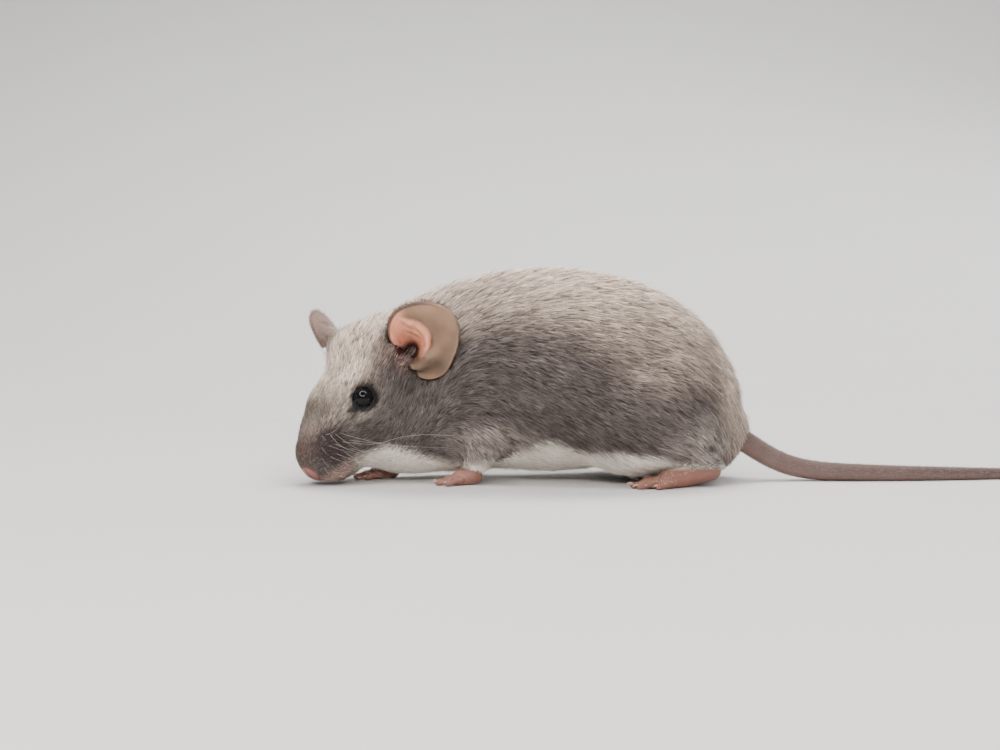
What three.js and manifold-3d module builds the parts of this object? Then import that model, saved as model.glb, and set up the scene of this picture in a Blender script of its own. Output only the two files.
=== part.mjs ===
// A house mouse, standing still with its head low and turned to its left.
// Millimetres, +Z up. The mouse looks along -X and its left side is at -Y.
import * as THREE from "three";
import { mergeVertices } from "three/addons/utils/BufferGeometryUtils.js";
import Module from "manifold-3d";

const wasm = await Module();
wasm.setup();

// ---- driving dimensions -------------------------------------------------

const GAP = 0.3;                    // parting cut between neighbouring pieces
const TRUNK = {
  ribs: { at: [7.5, 0, 18.7], size: [30.5, 15.6, 17.2] },
  rump: { at: [26.8, 0, 12.9], size: [14.3, 12.6, 12.2] },
  haunch: { at: [23.0, 8.2, 12.3], size: [12.2, 8.6, 10.8] },
  chest: { at: [-9.0, 0, 13.7], size: [12.0, 14.0, 12.0] },
  shoulder: { at: [-8.5, 7.4, 10.3], size: [8.6, 6.4, 8.0] },
  tailRoot: { at: [34.6, 0, 7.4], size: [6.6, 7.0, 6.2] },
};
const WAIST = { from: 14, over: 30, narrowing: 0.38 };   // trunk narrows towards the shoulders
// The neck runs from the trunk to a point inside the skull, given in the head's own frame.
const NECK = { root: [-7, 0, 19.6], end: [-10, 0, -1.8], radii: [10.4, 8.2], flattening: 0.86 };
const THROAT = { at: [-17.5, -1.8, 8.6], size: [8.6, 7.0, 7.0] };

// The head has its own frame: forward, left, up, with its origin between the eyes.
const HEAD_AT = [-26.4, -5.4, 14.7];
const HEAD_TURN = { yaw: 42, pitch: 38, roll: -2 };
const HEAD = {
  skull: { at: [-7.9, 0, -0.8], size: [7.85, 8.0, 7.0] },
  brow: { at: [0.1, 2.3, 0.85], size: [5.75, 2.5, 2.65] },
  snout: { from: [0, 0, -1.7], to: [8.95, 0, -4.65], radii: [4.1, 4.5] },
  cheek: { at: [-2.6, 4.2, -5.0], size: [7.0, 4.2, 4.8] },
  jaw: { from: [-5, 0, -6.2], to: [6.4, 0, -8.8], radii: [4.8, 2.8] },
  whiskerPad: { at: [8.35, 1.6, -6.7], size: [4.0, 2.8, 3.4] },
  muzzleSide: { at: [4.9, 3.05, -4.1], size: [4.8, 2.9, 4.6] },
  nose: { at: [11.6, 0, -5.9], size: [1.8, 1.8, 1.7] },
  earRoot: { at: [-11.0, 6.6, 0.8], size: [4.2, 3.4, 4.2] },
};
const EYE = { at: [0, 5.25, -0.55], radius: 1.85 };

const EAR = {
  thickness: 0.7,
  canalRadius: 1.5,
  depth: 4.6,
  steepness: 2.6,                   // how sharply the cup falls from its rim, and how that varies round it
  steepnessSwing: 1.2,
  steepestAt: -30,
  segments: [18, 4],
  // rim radius against the angle round the canal, from back-down towards up
  rim: [
    [-84, 2.6], [-61, 5.4], [-28, 7.1], [0, 7.5], [49, 9.2], [70, 8.6], [100, 7.2], [131, 6.1], [190, 3.2],
  ],
  left: { at: [-9.8, 11.0, 2.5], open: [0.744, 0.555, 0.372], up: [-0.62, 0.30, 0.72] },
  right: { at: [-9.2, 11.4, 2.4], open: [0.705, 0.72, -0.065], up: [-0.459, 0.514, 0.729] },
  hollow: { at: [0.3, 0.6, -1.7], size: [3.6, 3.8, 3.4] },
};

const FOREFOOT = {
  left: { at: [-4.4, -8.6], turn: 8 },
  right: { at: [-18.6, 0.5], turn: 14 },
  palm: { from: [0, 1.4], to: [2.3, 1.0], radii: [1.45, 1.45] },
  toeRadii: [0.66, 0.45],
  toes: [[2.4, 1.35, 2.4, 24], [3.0, 0.5, 3.0, 8], [3.0, -0.5, 3.0, -8], [2.4, -1.35, 2.4, -24]],
};
const HINDFOOT = {
  left: { at: [34.8, -10.8], turn: 15 },
  right: { at: [34.8, 10.8], turn: -15 },
  palm: { from: [0, 2.6], to: [7.6, 1.15], radii: [1.6, 1.75] },
  toeRadii: [0.78, 0.48],
  toes: [
    [7.6, 1.9, 3.0, 22], [9.2, 1.15, 4.0, 8], [9.4, 0.15, 4.2, 0], [9.2, -0.85, 4.0, -8], [7.4, -1.7, 3.0, -22],
  ],
};
const TOE_SINK = 0.12;              // the toes are pressed this far into the floor's plane
const FOREARM = {
  slack: 0.7,
  left: { elbow: [-2.5, -8.0, 8.0], wrist: [-4.2, -8.5, 2.6], radii: [3.4, 1.7] },
  right: { elbow: [-11.0, 5.0, 7.5], wrist: [-18.2, 0.8, 2.6], radii: [3.4, 1.8] },
};
const SHANK = { knee: [27.5, 9.0, 8.0], ankle: [34.4, 10.6, 3.4], radii: [4.6, 2.0], slack: 0.8 };
const THIGH = { at: [23.4, 12.5, 10.5], size: [12.6, 8.6, 11.2] };
const UPPER_ARM = { at: [-7.5, 10.2, 9.0], size: [7.2, 6.4, 8.2] };

const TAIL = {
  length: 82,
  rootRadius: 1.95,
  tipRadius: 0.4,
  tipLength: 1.2,                   // rounded end
  rootX: 35.5,
  inside: 3.4,                      // this much of it is inside the rump
  rise: 6.2,                        // height of the root over the lying part, and how far that reaches
  riseReach: 8.5,
  riseFall: 0.75,
  rootBend: 2,
  rootBendReach: 8,
  stretch: 0.985,
  sway: 3.2,
  swayTurns: 0.75,
  sink: 0.12,
  cuts: [0.3, 0.64],                // where the three lengths meet, as shares of the whole
};

const NECK_CUT = { at: [-18.2, 1.2, 19.6], along: [-0.72, -0.42, 0.05] };
const SHOULDER_CUT = { at: [-10.5, 0, 16.0], along: [-0.80, 0, 0.60] };

const CELL = { trunk: 4.4, leg: 3.0, head: 2.1 };
const BALL_SIDES = [14, 8];
const BAR_SIDES = { limb: 8, toe: 5, tail: 10 };
const TAIL_RING_SPACING = 3.6;

const COLOUR = {
  back: 0x9b9088, belly: 0xd8d2c8, skin: 0xc9978a, ear: 0xbd9c8c, eye: 0x0c0a0b, tail: 0x9c7468,
};

// ---- vectors and the head's frame ---------------------------------------

const rad = THREE.MathUtils.degToRad;
const clamp = THREE.MathUtils.clamp;

const HEAD_FRAME = headFrame();

function headFrame() {
  const yaw = rad(HEAD_TURN.yaw);
  const pitch = rad(HEAD_TURN.pitch);
  const roll = rad(HEAD_TURN.roll);
  const forward = new THREE.Vector3(
    -Math.cos(yaw) * Math.cos(pitch), -Math.sin(yaw) * Math.cos(pitch), -Math.sin(pitch));
  const level = new THREE.Vector3(Math.sin(yaw), -Math.cos(yaw), 0);
  const upright = forward.clone().cross(level);
  const left = level.clone().multiplyScalar(Math.cos(roll)).addScaledVector(upright, -Math.sin(roll));
  const up = upright.clone().multiplyScalar(Math.cos(roll)).addScaledVector(level, Math.sin(roll));
  return new THREE.Matrix4().makeBasis(forward, left, up).setPosition(...HEAD_AT);
}

const HEAD_FRAME_BACK = HEAD_FRAME.clone().invert();

function fromHead(x, y, z) {
  return new THREE.Vector3(x, y, z).applyMatrix4(HEAD_FRAME);
}

function toHead(p) {
  return p.clone().applyMatrix4(HEAD_FRAME_BACK);
}

// ---- distance fields ----------------------------------------------------

function ellipsoid(p, at, size) {
  const x = p.x - at[0];
  const y = p.y - at[1];
  const z = p.z - at[2];
  const near = Math.hypot(x / size[0], y / size[1], z / size[2]);
  const slope = Math.hypot(x / size[0] ** 2, y / size[1] ** 2, z / size[2] ** 2);
  return slope < 1e-9 ? -Math.min(...size) : near * (near - 1) / slope;
}

// A round cone: the space swept by a ball that changes size along a line.
function roundCone(p, from, to, [fromRadius, toRadius]) {
  const a = new THREE.Vector3(...from);
  const line = new THREE.Vector3(...to).sub(a);
  const length = line.length();
  const axis = line.divideScalar(length);
  const offset = p.clone().sub(a);
  const along = offset.dot(axis);
  const across = Math.sqrt(Math.max(offset.lengthSq() - along * along, 0));
  const slant = (fromRadius - toRadius) / length;
  const cosine = Math.sqrt(1 - slant * slant);
  const side = cosine * along - slant * across;
  if (side < 0) {
    return Math.hypot(across, along) - fromRadius;
  }
  if (side > cosine * length) {
    return Math.hypot(across, along - length) - toRadius;
  }
  return across * cosine + along * slant - fromRadius;
}

function blend(a, b, width) {
  const h = Math.max(width - Math.abs(a - b), 0) / width;
  return Math.min(a, b) - h * h * width * 0.25;
}

function blendOut(a, b, width) {
  return -blend(-a, -b, width);
}

function mirrored(p) {
  return new THREE.Vector3(p.x, Math.abs(p.y), p.z);
}

function headField(p) {
  const q = mirrored(toHead(p));
  let d = ellipsoid(q, HEAD.skull.at, HEAD.skull.size);
  d = blend(d, ellipsoid(q, HEAD.brow.at, HEAD.brow.size), 2.5);
  d = blend(d, roundCone(q, HEAD.snout.from, HEAD.snout.to, HEAD.snout.radii), 3);
  d = blend(d, ellipsoid(q, HEAD.cheek.at, HEAD.cheek.size), 3);
  d = blend(d, roundCone(q, HEAD.jaw.from, HEAD.jaw.to, HEAD.jaw.radii), 2.5);
  d = blend(d, ellipsoid(q, HEAD.whiskerPad.at, HEAD.whiskerPad.size), 1.6);
  d = blend(d, ellipsoid(q, HEAD.muzzleSide.at, HEAD.muzzleSide.size), 2);
  d = blend(d, ellipsoid(q, HEAD.nose.at, HEAD.nose.size), 1);
  return blend(d, ellipsoid(q, HEAD.earRoot.at, HEAD.earRoot.size), 2.5);
}

function neckField(p) {
  const squeeze = NECK.flattening;
  const narrow = ([x, y, z]) => [x, y / squeeze, z];
  const end = fromHead(...NECK.end).toArray();
  const q = new THREE.Vector3(p.x, p.y / squeeze, p.z);
  const cone = roundCone(q, narrow(NECK.root), narrow(end), NECK.radii);
  return blend(cone * squeeze, ellipsoid(p, THROAT.at, THROAT.size), 4);
}

function trunkField(p) {
  const t = clamp((WAIST.from - p.x) / WAIST.over, 0, 1);
  const width = 1 - WAIST.narrowing * t * t * (3 - 2 * t);
  const q = new THREE.Vector3(p.x, Math.abs(p.y) / width, p.z);
  let d = ellipsoid(q, TRUNK.ribs.at, TRUNK.ribs.size);
  d = blend(d, ellipsoid(q, TRUNK.rump.at, TRUNK.rump.size), 3);
  d = blend(d, ellipsoid(q, TRUNK.haunch.at, TRUNK.haunch.size), 3);
  d = blend(d, ellipsoid(q, TRUNK.chest.at, TRUNK.chest.size), 5);
  d = blend(d, ellipsoid(q, TRUNK.shoulder.at, TRUNK.shoulder.size), 3);
  d = blend(d, ellipsoid(q, TRUNK.tailRoot.at, TRUNK.tailRoot.size), 3);
  return d * width;
}

function limbsField(p) {
  const shank = roundCone(mirrored(p), SHANK.knee, SHANK.ankle, SHANK.radii);
  const left = roundCone(p, FOREARM.left.elbow, FOREARM.left.wrist, FOREARM.left.radii);
  const right = roundCone(p, FOREARM.right.elbow, FOREARM.right.wrist, FOREARM.right.radii);
  return Math.min(shank, left, right);
}

// The hollow in the side of the head that each ear opens from.
function earHollowField(p, side) {
  const frame = earFrame(side);
  const q = p.clone().applyMatrix4(frame.clone().invert());
  return ellipsoid(q, EAR.hollow.at, EAR.hollow.size);
}

function bodyField(p) {
  let d = blend(trunkField(p), neckField(p), 4);
  d = blend(d, headField(p), 3);
  d = blendOut(d, -earHollowField(p, "left"), 0.8);
  return blendOut(d, -earHollowField(p, "right"), 0.8);
}

function fleshField(p) {
  return blend(bodyField(p), limbsField(p), 1.5);
}

// ---- solids -------------------------------------------------------------

// Surface nets: one vertex in each grid cell that the surface crosses.
function netGeometry(field, low, high, cell) {
  const grid = sampled(field, low, high, cell);
  const { positions, vertexOf } = netVertices(grid);
  const geometry = new THREE.BufferGeometry();
  geometry.setAttribute("position", new THREE.Float32BufferAttribute(positions, 3));
  geometry.setIndex(netFaces(grid, vertexOf));
  return geometry;
}

// The field's values on a grid, kept above zero at the grid's border so that the surface closes.
function sampled(field, low, high, cell) {
  const count = low.map((value, axis) => Math.ceil((high[axis] - value) / cell) + 1);
  const stride = [1, count[0], count[0] * count[1]];
  const values = new Float64Array(count[0] * count[1] * count[2]);
  const point = new THREE.Vector3();
  forEachCell(count, (cellAt, base) => {
    point.set(...low.map((value, axis) => value + cellAt[axis] * cell));
    const atBorder = cellAt.some((n, axis) => n === 0 || n === count[axis] - 1);
    const value = field(point);
    values[base] = atBorder ? Math.max(value, cell / 2) : value;
  });
  return { low, cell, count, stride, values };
}

function forEachCell(count, visit) {
  for (let k = 0; k < count[2]; k++) {
    for (let j = 0; j < count[1]; j++) {
      for (let i = 0; i < count[0]; i++) {
        visit([i, j, k], i + count[0] * (j + count[1] * k));
      }
    }
  }
}

function cubeCorners() {
  const corners = [];
  for (let c = 0; c < 8; c++) {
    corners.push([c & 1, (c >> 1) & 1, c >> 2]);
  }
  return corners;
}

// Pairs of corner numbers that differ along one axis.
function cubeEdges() {
  const edges = [];
  for (let a = 0; a < 8; a++) {
    for (const bit of [1, 2, 4]) {
      if (!(a & bit)) {
        edges.push([a, a | bit]);
      }
    }
  }
  return edges;
}

const CORNERS = cubeCorners();
const EDGES = cubeEdges();

function netVertices({ low, cell, count, stride, values }) {
  const positions = [];
  const vertexOf = new Map();
  forEachCell(count, (cellAt, base) => {
    if (cellAt.some((n, axis) => n === count[axis] - 1)) {
      return;
    }
    const at = CORNERS.map(([x, y, z]) => values[base + x + y * stride[1] + z * stride[2]]);
    const middle = crossingMiddle(at);
    if (middle) {
      vertexOf.set(base, positions.length / 3);
      positions.push(...middle.map((value, axis) => low[axis] + (cellAt[axis] + value) * cell));
    }
  });
  return { positions, vertexOf };
}

// The middle of the places where the surface crosses a cell's edges, from the values at its corners.
function crossingMiddle(at) {
  const sum = [0, 0, 0];
  let crossings = 0;
  for (const [a, b] of EDGES) {
    if (at[a] < 0 === at[b] < 0) {
      continue;
    }
    const t = at[a] / (at[a] - at[b]);
    for (let axis = 0; axis < 3; axis++) {
      sum[axis] += CORNERS[a][axis] + t * (CORNERS[b][axis] - CORNERS[a][axis]);
    }
    crossings++;
  }
  return crossings ? sum.map((value) => value / crossings) : null;
}

function netFaces({ stride, values }, vertexOf) {
  const index = [];
  for (let axis = 0; axis < 3; axis++) {
    const [u, v] = [stride[(axis + 1) % 3], stride[(axis + 2) % 3]];
    for (let n = 0; n < values.length - stride[axis]; n++) {
      const inside = values[n] < 0;
      const crossed = inside !== values[n + stride[axis]] < 0;
      const ring = crossed ? [n - u - v, n - v, n, n - u].map((base) => vertexOf.get(base)) : [undefined];
      if (ring.includes(undefined)) {
        continue;
      }
      const [a, b, c, d] = inside ? ring : ring.reverse();
      index.push(a, b, c, a, c, d);
    }
  }
  return index;
}

function solidOf(geometry) {
  const bare = new THREE.BufferGeometry();
  bare.setAttribute("position", geometry.getAttribute("position"));
  bare.setIndex(geometry.getIndex());
  const welded = mergeVertices(bare, 1e-4);
  return new wasm.Manifold(new wasm.Mesh({
    numProp: 3,
    vertProperties: new Float32Array(welded.getAttribute("position").array),
    triVerts: new Uint32Array(welded.getIndex().array),
  }));
}

function geometryOf(solid) {
  const mesh = solid.getMesh();
  const geometry = new THREE.BufferGeometry();
  geometry.setAttribute("position", new THREE.Float32BufferAttribute(mesh.vertProperties, 3));
  geometry.setIndex(new THREE.Uint32BufferAttribute(mesh.triVerts, 1));
  geometry.computeVertexNormals();
  return geometry;
}

function netSolid(field, low, high, cell) {
  return solidOf(netGeometry(field, low, high, cell));
}

// All the space on the far side of a plane, as one large box.
function halfSpace(at, along, shift = 0) {
  const size = 300;
  const direction = new THREE.Vector3(...along).normalize();
  const box = new THREE.BoxGeometry(size, size, size);
  box.translate(0, 0, size / 2 + shift);
  box.applyQuaternion(new THREE.Quaternion().setFromUnitVectors(new THREE.Vector3(0, 0, 1), direction));
  box.translate(...at);
  return solidOf(box);
}

function largestPiece(solid) {
  const pieces = solid.decompose();
  return pieces.reduce((best, piece) => (piece.volume() > best.volume() ? piece : best));
}

const floorSpace = halfSpace([0, 0, 0], [0, 0, -1]);

// ---- pieces -------------------------------------------------------------

function sign(side) {
  return side === "left" ? 1 : -1;
}

function earFrame(side) {
  const open = new THREE.Vector3(...EAR[side].open).normalize();
  const up = new THREE.Vector3(...EAR[side].up);
  up.addScaledVector(open, -up.dot(open)).normalize();
  const back = up.clone().cross(open);
  const mirror = new THREE.Matrix4().makeScale(1, sign(side), 1);
  const own = new THREE.Matrix4().makeBasis(back, up, open).setPosition(...EAR[side].at);
  return HEAD_FRAME.clone().multiply(mirror).multiply(own);
}

function rimRadius(angle) {
  const last = EAR.rim.length - 1;
  let i = 0;
  while (i < last - 1 && angle > EAR.rim[i + 1][0]) {
    i++;
  }
  const slope = (n) => {
    const [before, after] = [EAR.rim[Math.max(n - 1, 0)], EAR.rim[Math.min(n + 1, last)]];
    return (after[1] - before[1]) / (after[0] - before[0]);
  };
  const [from, to] = [EAR.rim[i], EAR.rim[i + 1]];
  const span = to[0] - from[0];
  const t = (angle - from[0]) / span;
  const [m0, m1] = [slope(i) * span, slope(i + 1) * span];
  return (2 * t ** 3 - 3 * t ** 2 + 1) * from[1] + (t ** 3 - 2 * t ** 2 + t) * m0
    + (3 * t ** 2 - 2 * t ** 3) * to[1] + (t ** 3 - t ** 2) * m1;
}

// A point of the ear's cup: angle round the canal, and 0 at the canal to 1 at the rim.
function earPoint(angle, outward) {
  const radius = EAR.canalRadius + (rimRadius(angle) - EAR.canalRadius) * outward;
  const steepness = EAR.steepness + EAR.steepnessSwing * Math.cos(rad(angle - EAR.steepestAt));
  const height = -EAR.depth * (1 - outward) ** steepness;
  return new THREE.Vector3(radius * Math.cos(rad(angle)), radius * Math.sin(rad(angle)), height);
}

function earSolid(side, extra = 0) {
  const [first, last] = [EAR.rim[0][0], EAR.rim[EAR.rim.length - 1][0]];
  const box = new THREE.BoxGeometry(1, 1, 1, ...EAR.segments, 1);
  const place = box.getAttribute("position");
  const step = 0.01;
  for (let i = 0; i < place.count; i++) {
    const angle = first + (place.getX(i) + 0.5) * (last - first);
    const outward = 0.02 + (place.getY(i) + 0.5) * 0.98;
    const here = earPoint(angle, outward);
    const round = earPoint(angle + 1, outward).sub(here);
    const out = here.clone().sub(earPoint(angle, outward - step));
    const normal = out.cross(round).normalize();
    here.addScaledVector(normal, place.getZ(i) * (EAR.thickness + 2 * extra));
    place.setXYZ(i, here.x, here.y, here.z);
  }
  box.applyMatrix4(earFrame(side));
  if (earFrame(side).determinant() > 0) {
    flipFaces(box);
  }
  return solidOf(box);
}

function flipFaces(geometry) {
  const index = geometry.getIndex();
  for (let i = 0; i < index.count; i += 3) {
    const second = index.getX(i + 1);
    index.setX(i + 1, index.getX(i + 2));
    index.setX(i + 2, second);
  }
}

function eyeSolid(side, extra = 0) {
  const [x, y, z] = EYE.at;
  const ball = new THREE.SphereGeometry(EYE.radius + extra, ...BALL_SIDES);
  ball.translate(...fromHead(x, sign(side) * y, z).toArray());
  return solidOf(ball);
}

// A closed round bar between two points, with ball ends of different sizes.
function limbSolid(from, to, [fromRadius, toRadius], sides) {
  const length = Math.hypot(...from.map((value, axis) => to[axis] - value));
  const onArc = (angle, radius, base) =>
    new THREE.Vector2(radius * Math.cos(rad(angle)), base + radius * Math.sin(rad(angle)));
  const start = [-90, -45, 0].map((angle) => onArc(angle, fromRadius, 0));
  const finish = [0, 45, 90].map((angle) => onArc(angle, toRadius, length));
  const profile = [...start, ...finish];
  profile[0].x = 0;
  profile[profile.length - 1].x = 0;
  const bar = new THREE.LatheGeometry(profile, sides);
  const line = new THREE.Vector3(...to).sub(new THREE.Vector3(...from)).normalize();
  bar.applyQuaternion(new THREE.Quaternion().setFromUnitVectors(new THREE.Vector3(0, 1, 0), line));
  bar.translate(...from);
  return solidOf(bar);
}

// One foot: a palm and its toes, laid out along and across the foot's own line.
function footSolid(foot, side, extra = 0) {
  const { at, turn } = foot[side];
  const spot = (along, aside, height) => [
    at[0] - Math.cos(rad(turn)) * along + Math.sin(rad(turn)) * aside,
    at[1] - Math.sin(rad(turn)) * along - Math.cos(rad(turn)) * aside,
    height,
  ];
  const grown = (radii) => radii.map((radius) => radius + extra);
  const { from, to, radii } = foot.palm;
  let solid = limbSolid(spot(from[0], 0, from[1]), spot(to[0], 0, to[1]), grown(radii), BAR_SIDES.limb);
  const [thick, thin] = foot.toeRadii;
  for (const [along, aside, length, splay] of foot.toes) {
    const tipAlong = along + Math.cos(rad(splay)) * length;
    const tipAside = aside + Math.sin(rad(splay)) * length;
    const root = spot(along, aside, thick + 0.15);
    const tip = spot(tipAlong, tipAside, thin - TOE_SINK);
    solid = solid.add(limbSolid(root, tip, grown([thick, thin]), BAR_SIDES.toe));
  }
  return solid;
}

function tailPoint(distance) {
  const radius = tailRadius(distance);
  const lift = TAIL.rise * Math.exp(-TAIL.riseFall * (distance / TAIL.riseReach) ** 2);
  const bend = TAIL.rootBend * Math.exp(-distance / TAIL.rootBendReach);
  return new THREE.Vector3(
    TAIL.rootX + distance * TAIL.stretch + bend,
    -TAIL.sway * Math.sin(distance / TAIL.length * TAIL.swayTurns * 2 * Math.PI),
    radius - TAIL.sink + lift);
}

function tailRadius(distance) {
  return TAIL.rootRadius + (TAIL.tipRadius - TAIL.rootRadius) * distance / TAIL.length;
}

// A closed tapering tube along the tail's curve, with a rounded end at the tip.
function tailSolid(from, to, extra = 0) {
  const rings = Math.round((to - from) / TAIL_RING_SPACING);
  const tube = new THREE.CylinderGeometry(1, 1, 1, BAR_SIDES.tail, rings);
  const place = tube.getAttribute("position");
  const step = 0.05;
  for (let i = 0; i < place.count; i++) {
    const distance = from + (0.5 - place.getY(i)) * (to - from);
    const centre = tailPoint(distance);
    const ahead = tailPoint(distance + step).sub(centre).normalize();
    const sideways = new THREE.Vector3(0, 0, 1).cross(ahead).normalize();
    const upward = ahead.clone().cross(sideways);
    const radius = (tailRadius(distance) + extra) * tipRounding(distance);
    centre.addScaledVector(sideways, place.getX(i) * radius).addScaledVector(upward, place.getZ(i) * radius);
    place.setXYZ(i, centre.x, centre.y, centre.z);
  }
  return solidOf(tube);
}

function tipRounding(distance) {
  const left = clamp((TAIL.length - distance) / TAIL.tipLength, 0, 1);
  return 0.45 + 0.55 * Math.sqrt(1 - (1 - left) ** 2);
}

function acrossTo(side, [x, y, z]) {
  return [x, -sign(side) * y, z];
}

function ellipsoidSolid(at, size, extra) {
  const ball = new THREE.SphereGeometry(1, ...BALL_SIDES);
  ball.scale(...size.map((radius) => radius + extra));
  ball.translate(...at);
  return solidOf(ball);
}

// The space that belongs to each leg, wider by extra for the cut in the trunk.
function hindlegRegion(side, extra) {
  const thigh = ellipsoidSolid(acrossTo(side, THIGH.at), THIGH.size, extra);
  const radii = SHANK.radii.map((radius) => radius + SHANK.slack + extra);
  return thigh.add(limbSolid(acrossTo(side, SHANK.knee), acrossTo(side, SHANK.ankle), radii, BAR_SIDES.limb));
}

function forelegRegion(side, extra) {
  const upper = ellipsoidSolid(acrossTo(side, UPPER_ARM.at), UPPER_ARM.size, extra);
  const { elbow, wrist } = FOREARM[side];
  const radii = FOREARM[side].radii.map((radius) => radius + FOREARM.slack + extra);
  return upper.add(limbSolid(elbow, wrist, radii, BAR_SIDES.limb));
}

// ---- cutting the flesh into its parts -----------------------------------

const SIDES = ["left", "right"];
const BODY_LOW = [-44, -24, -2];
const BODY_HIGH = [46, 24, 42];
const FRONT_HIGH = [10, 24, 42];

function joined(solids) {
  return solids.reduce((all, solid) => all.add(solid));
}

// The tail's root and the feet, wider by the gap, as cut out of the flesh.
function footAndTailCutter() {
  const feet = SIDES.flatMap((side) => [footSolid(FOREFOOT, side, GAP), footSolid(HINDFOOT, side, GAP)]);
  return joined([tailSolid(-TAIL.inside - 2 * GAP, TAIL.length * TAIL.cuts[0], GAP), ...feet]);
}

function buildFlesh(solids) {
  const cutter = footAndTailCutter();
  const fine = netSolid(bodyField, BODY_LOW, FRONT_HIGH, CELL.head).subtract(cutter);
  const coarse = netSolid(bodyField, BODY_LOW, BODY_HIGH, CELL.trunk).subtract(cutter);
  const middle = netSolid(fleshField, BODY_LOW, BODY_HIGH, CELL.leg).subtract(cutter);

  const headSide = halfSpace(NECK_CUT.at, NECK_CUT.along, GAP / 2);
  const neckSide = halfSpace(NECK_CUT.at, NECK_CUT.along, -GAP / 2);
  const shoulderFront = halfSpace(SHOULDER_CUT.at, SHOULDER_CUT.along, GAP / 2);
  const shoulderBack = halfSpace(SHOULDER_CUT.at, SHOULDER_CUT.along, -GAP / 2);
  const eyes = joined(SIDES.map((side) => eyeSolid(side, GAP)));
  const ears = joined(SIDES.map((side) => earSolid(side, GAP)));
  solids.head = largestPiece(fine.intersect(headSide).intersect(shoulderFront).subtract(eyes));
  solids.neck = largestPiece(middle.intersect(shoulderFront).subtract(neckSide).subtract(ears));

  let trunk = coarse.subtract(shoulderBack);
  for (const side of SIDES) {
    solids[`hindleg_${side}`] = largestPiece(middle.intersect(hindlegRegion(side, 0)));
    solids[`foreleg_${side}`] = largestPiece(middle.subtract(shoulderBack).intersect(forelegRegion(side, 0)));
    trunk = trunk.subtract(hindlegRegion(side, GAP)).subtract(forelegRegion(side, GAP));
  }
  solids.trunk = largestPiece(trunk);
}

function buildEarsAndEyes(solids) {
  const swollen = netSolid((p) => bodyField(p) - GAP, BODY_LOW, FRONT_HIGH, CELL.head);
  for (const side of SIDES) {
    solids[`ear_${side}`] = largestPiece(earSolid(side).subtract(swollen));
    solids[`eye_${side}`] = eyeSolid(side);
  }
}

function buildFeet(solids) {
  for (const side of SIDES) {
    solids[`forefoot_${side}`] = footSolid(FOREFOOT, side).subtract(floorSpace);
    solids[`hindfoot_${side}`] = footSolid(HINDFOOT, side).subtract(floorSpace);
  }
}

function buildTail(solids) {
  const [first, second] = TAIL.cuts.map((share) => share * TAIL.length);
  solids.tail_base = tailSolid(-TAIL.inside, first - GAP / 2).subtract(floorSpace);
  solids.tail_middle = tailSolid(first + GAP / 2, second - GAP / 2).subtract(floorSpace);
  solids.tail_end = tailSolid(second + GAP / 2, TAIL.length).subtract(floorSpace);
}

function buildSolids() {
  const solids = {};
  buildFlesh(solids);
  buildEarsAndEyes(solids);
  buildFeet(solids);
  buildTail(solids);
  return solids;
}

// ---- materials and the finished group -----------------------------------

// The start of a node's name, its colour and its roughness; the first that fits is used.
const LOOKS = [
  ["eye", COLOUR.eye, 0.08],
  ["ear", COLOUR.ear, 0.6],
  ["tail", COLOUR.tail, 0.8],
  ["forefoot", COLOUR.skin, 0.6],
  ["hindfoot", COLOUR.skin, 0.6],
  ["foreleg", COLOUR.belly, 0.8],
  ["", COLOUR.back, 0.8],
];

function material(name) {
  const [, color, roughness] = LOOKS.find(([start]) => name.startsWith(start));
  return new THREE.MeshStandardMaterial({ color, roughness, metalness: 0 });
}

const mouse = new THREE.Group();
for (const [name, solid] of Object.entries(buildSolids())) {
  const mesh = new THREE.Mesh(geometryOf(solid), material(name));
  mesh.name = name;
  mouse.add(mesh);
}

// The origin is the middle of the footprint, on the floor.
const box = new THREE.Box3().setFromObject(mouse);
const centre = box.getCenter(new THREE.Vector3());
mouse.position.set(-centre.x, -centre.y, -box.min.z);

export default mouse;
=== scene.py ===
"""A house mouse standing still, head low and turned to its left. Shapes are worked out in millimetres."""

import bmesh
import bpy
import numpy as np
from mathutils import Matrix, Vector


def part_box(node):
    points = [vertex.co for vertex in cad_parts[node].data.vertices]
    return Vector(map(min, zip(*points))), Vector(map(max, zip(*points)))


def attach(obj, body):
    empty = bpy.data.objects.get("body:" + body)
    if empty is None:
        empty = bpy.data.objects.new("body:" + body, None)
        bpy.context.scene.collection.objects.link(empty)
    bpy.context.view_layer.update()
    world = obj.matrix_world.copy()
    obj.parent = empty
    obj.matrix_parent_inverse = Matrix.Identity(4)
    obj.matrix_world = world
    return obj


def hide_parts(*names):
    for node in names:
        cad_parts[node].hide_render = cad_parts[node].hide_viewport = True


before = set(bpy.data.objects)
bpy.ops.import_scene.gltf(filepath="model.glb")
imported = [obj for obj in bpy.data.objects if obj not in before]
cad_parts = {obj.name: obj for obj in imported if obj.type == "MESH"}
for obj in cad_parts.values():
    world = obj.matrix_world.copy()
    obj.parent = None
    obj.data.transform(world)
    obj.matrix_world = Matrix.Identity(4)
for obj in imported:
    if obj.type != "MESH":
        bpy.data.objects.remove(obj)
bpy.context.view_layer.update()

# ---- the body's dimensions, as in the solids ------------------------------

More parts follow.
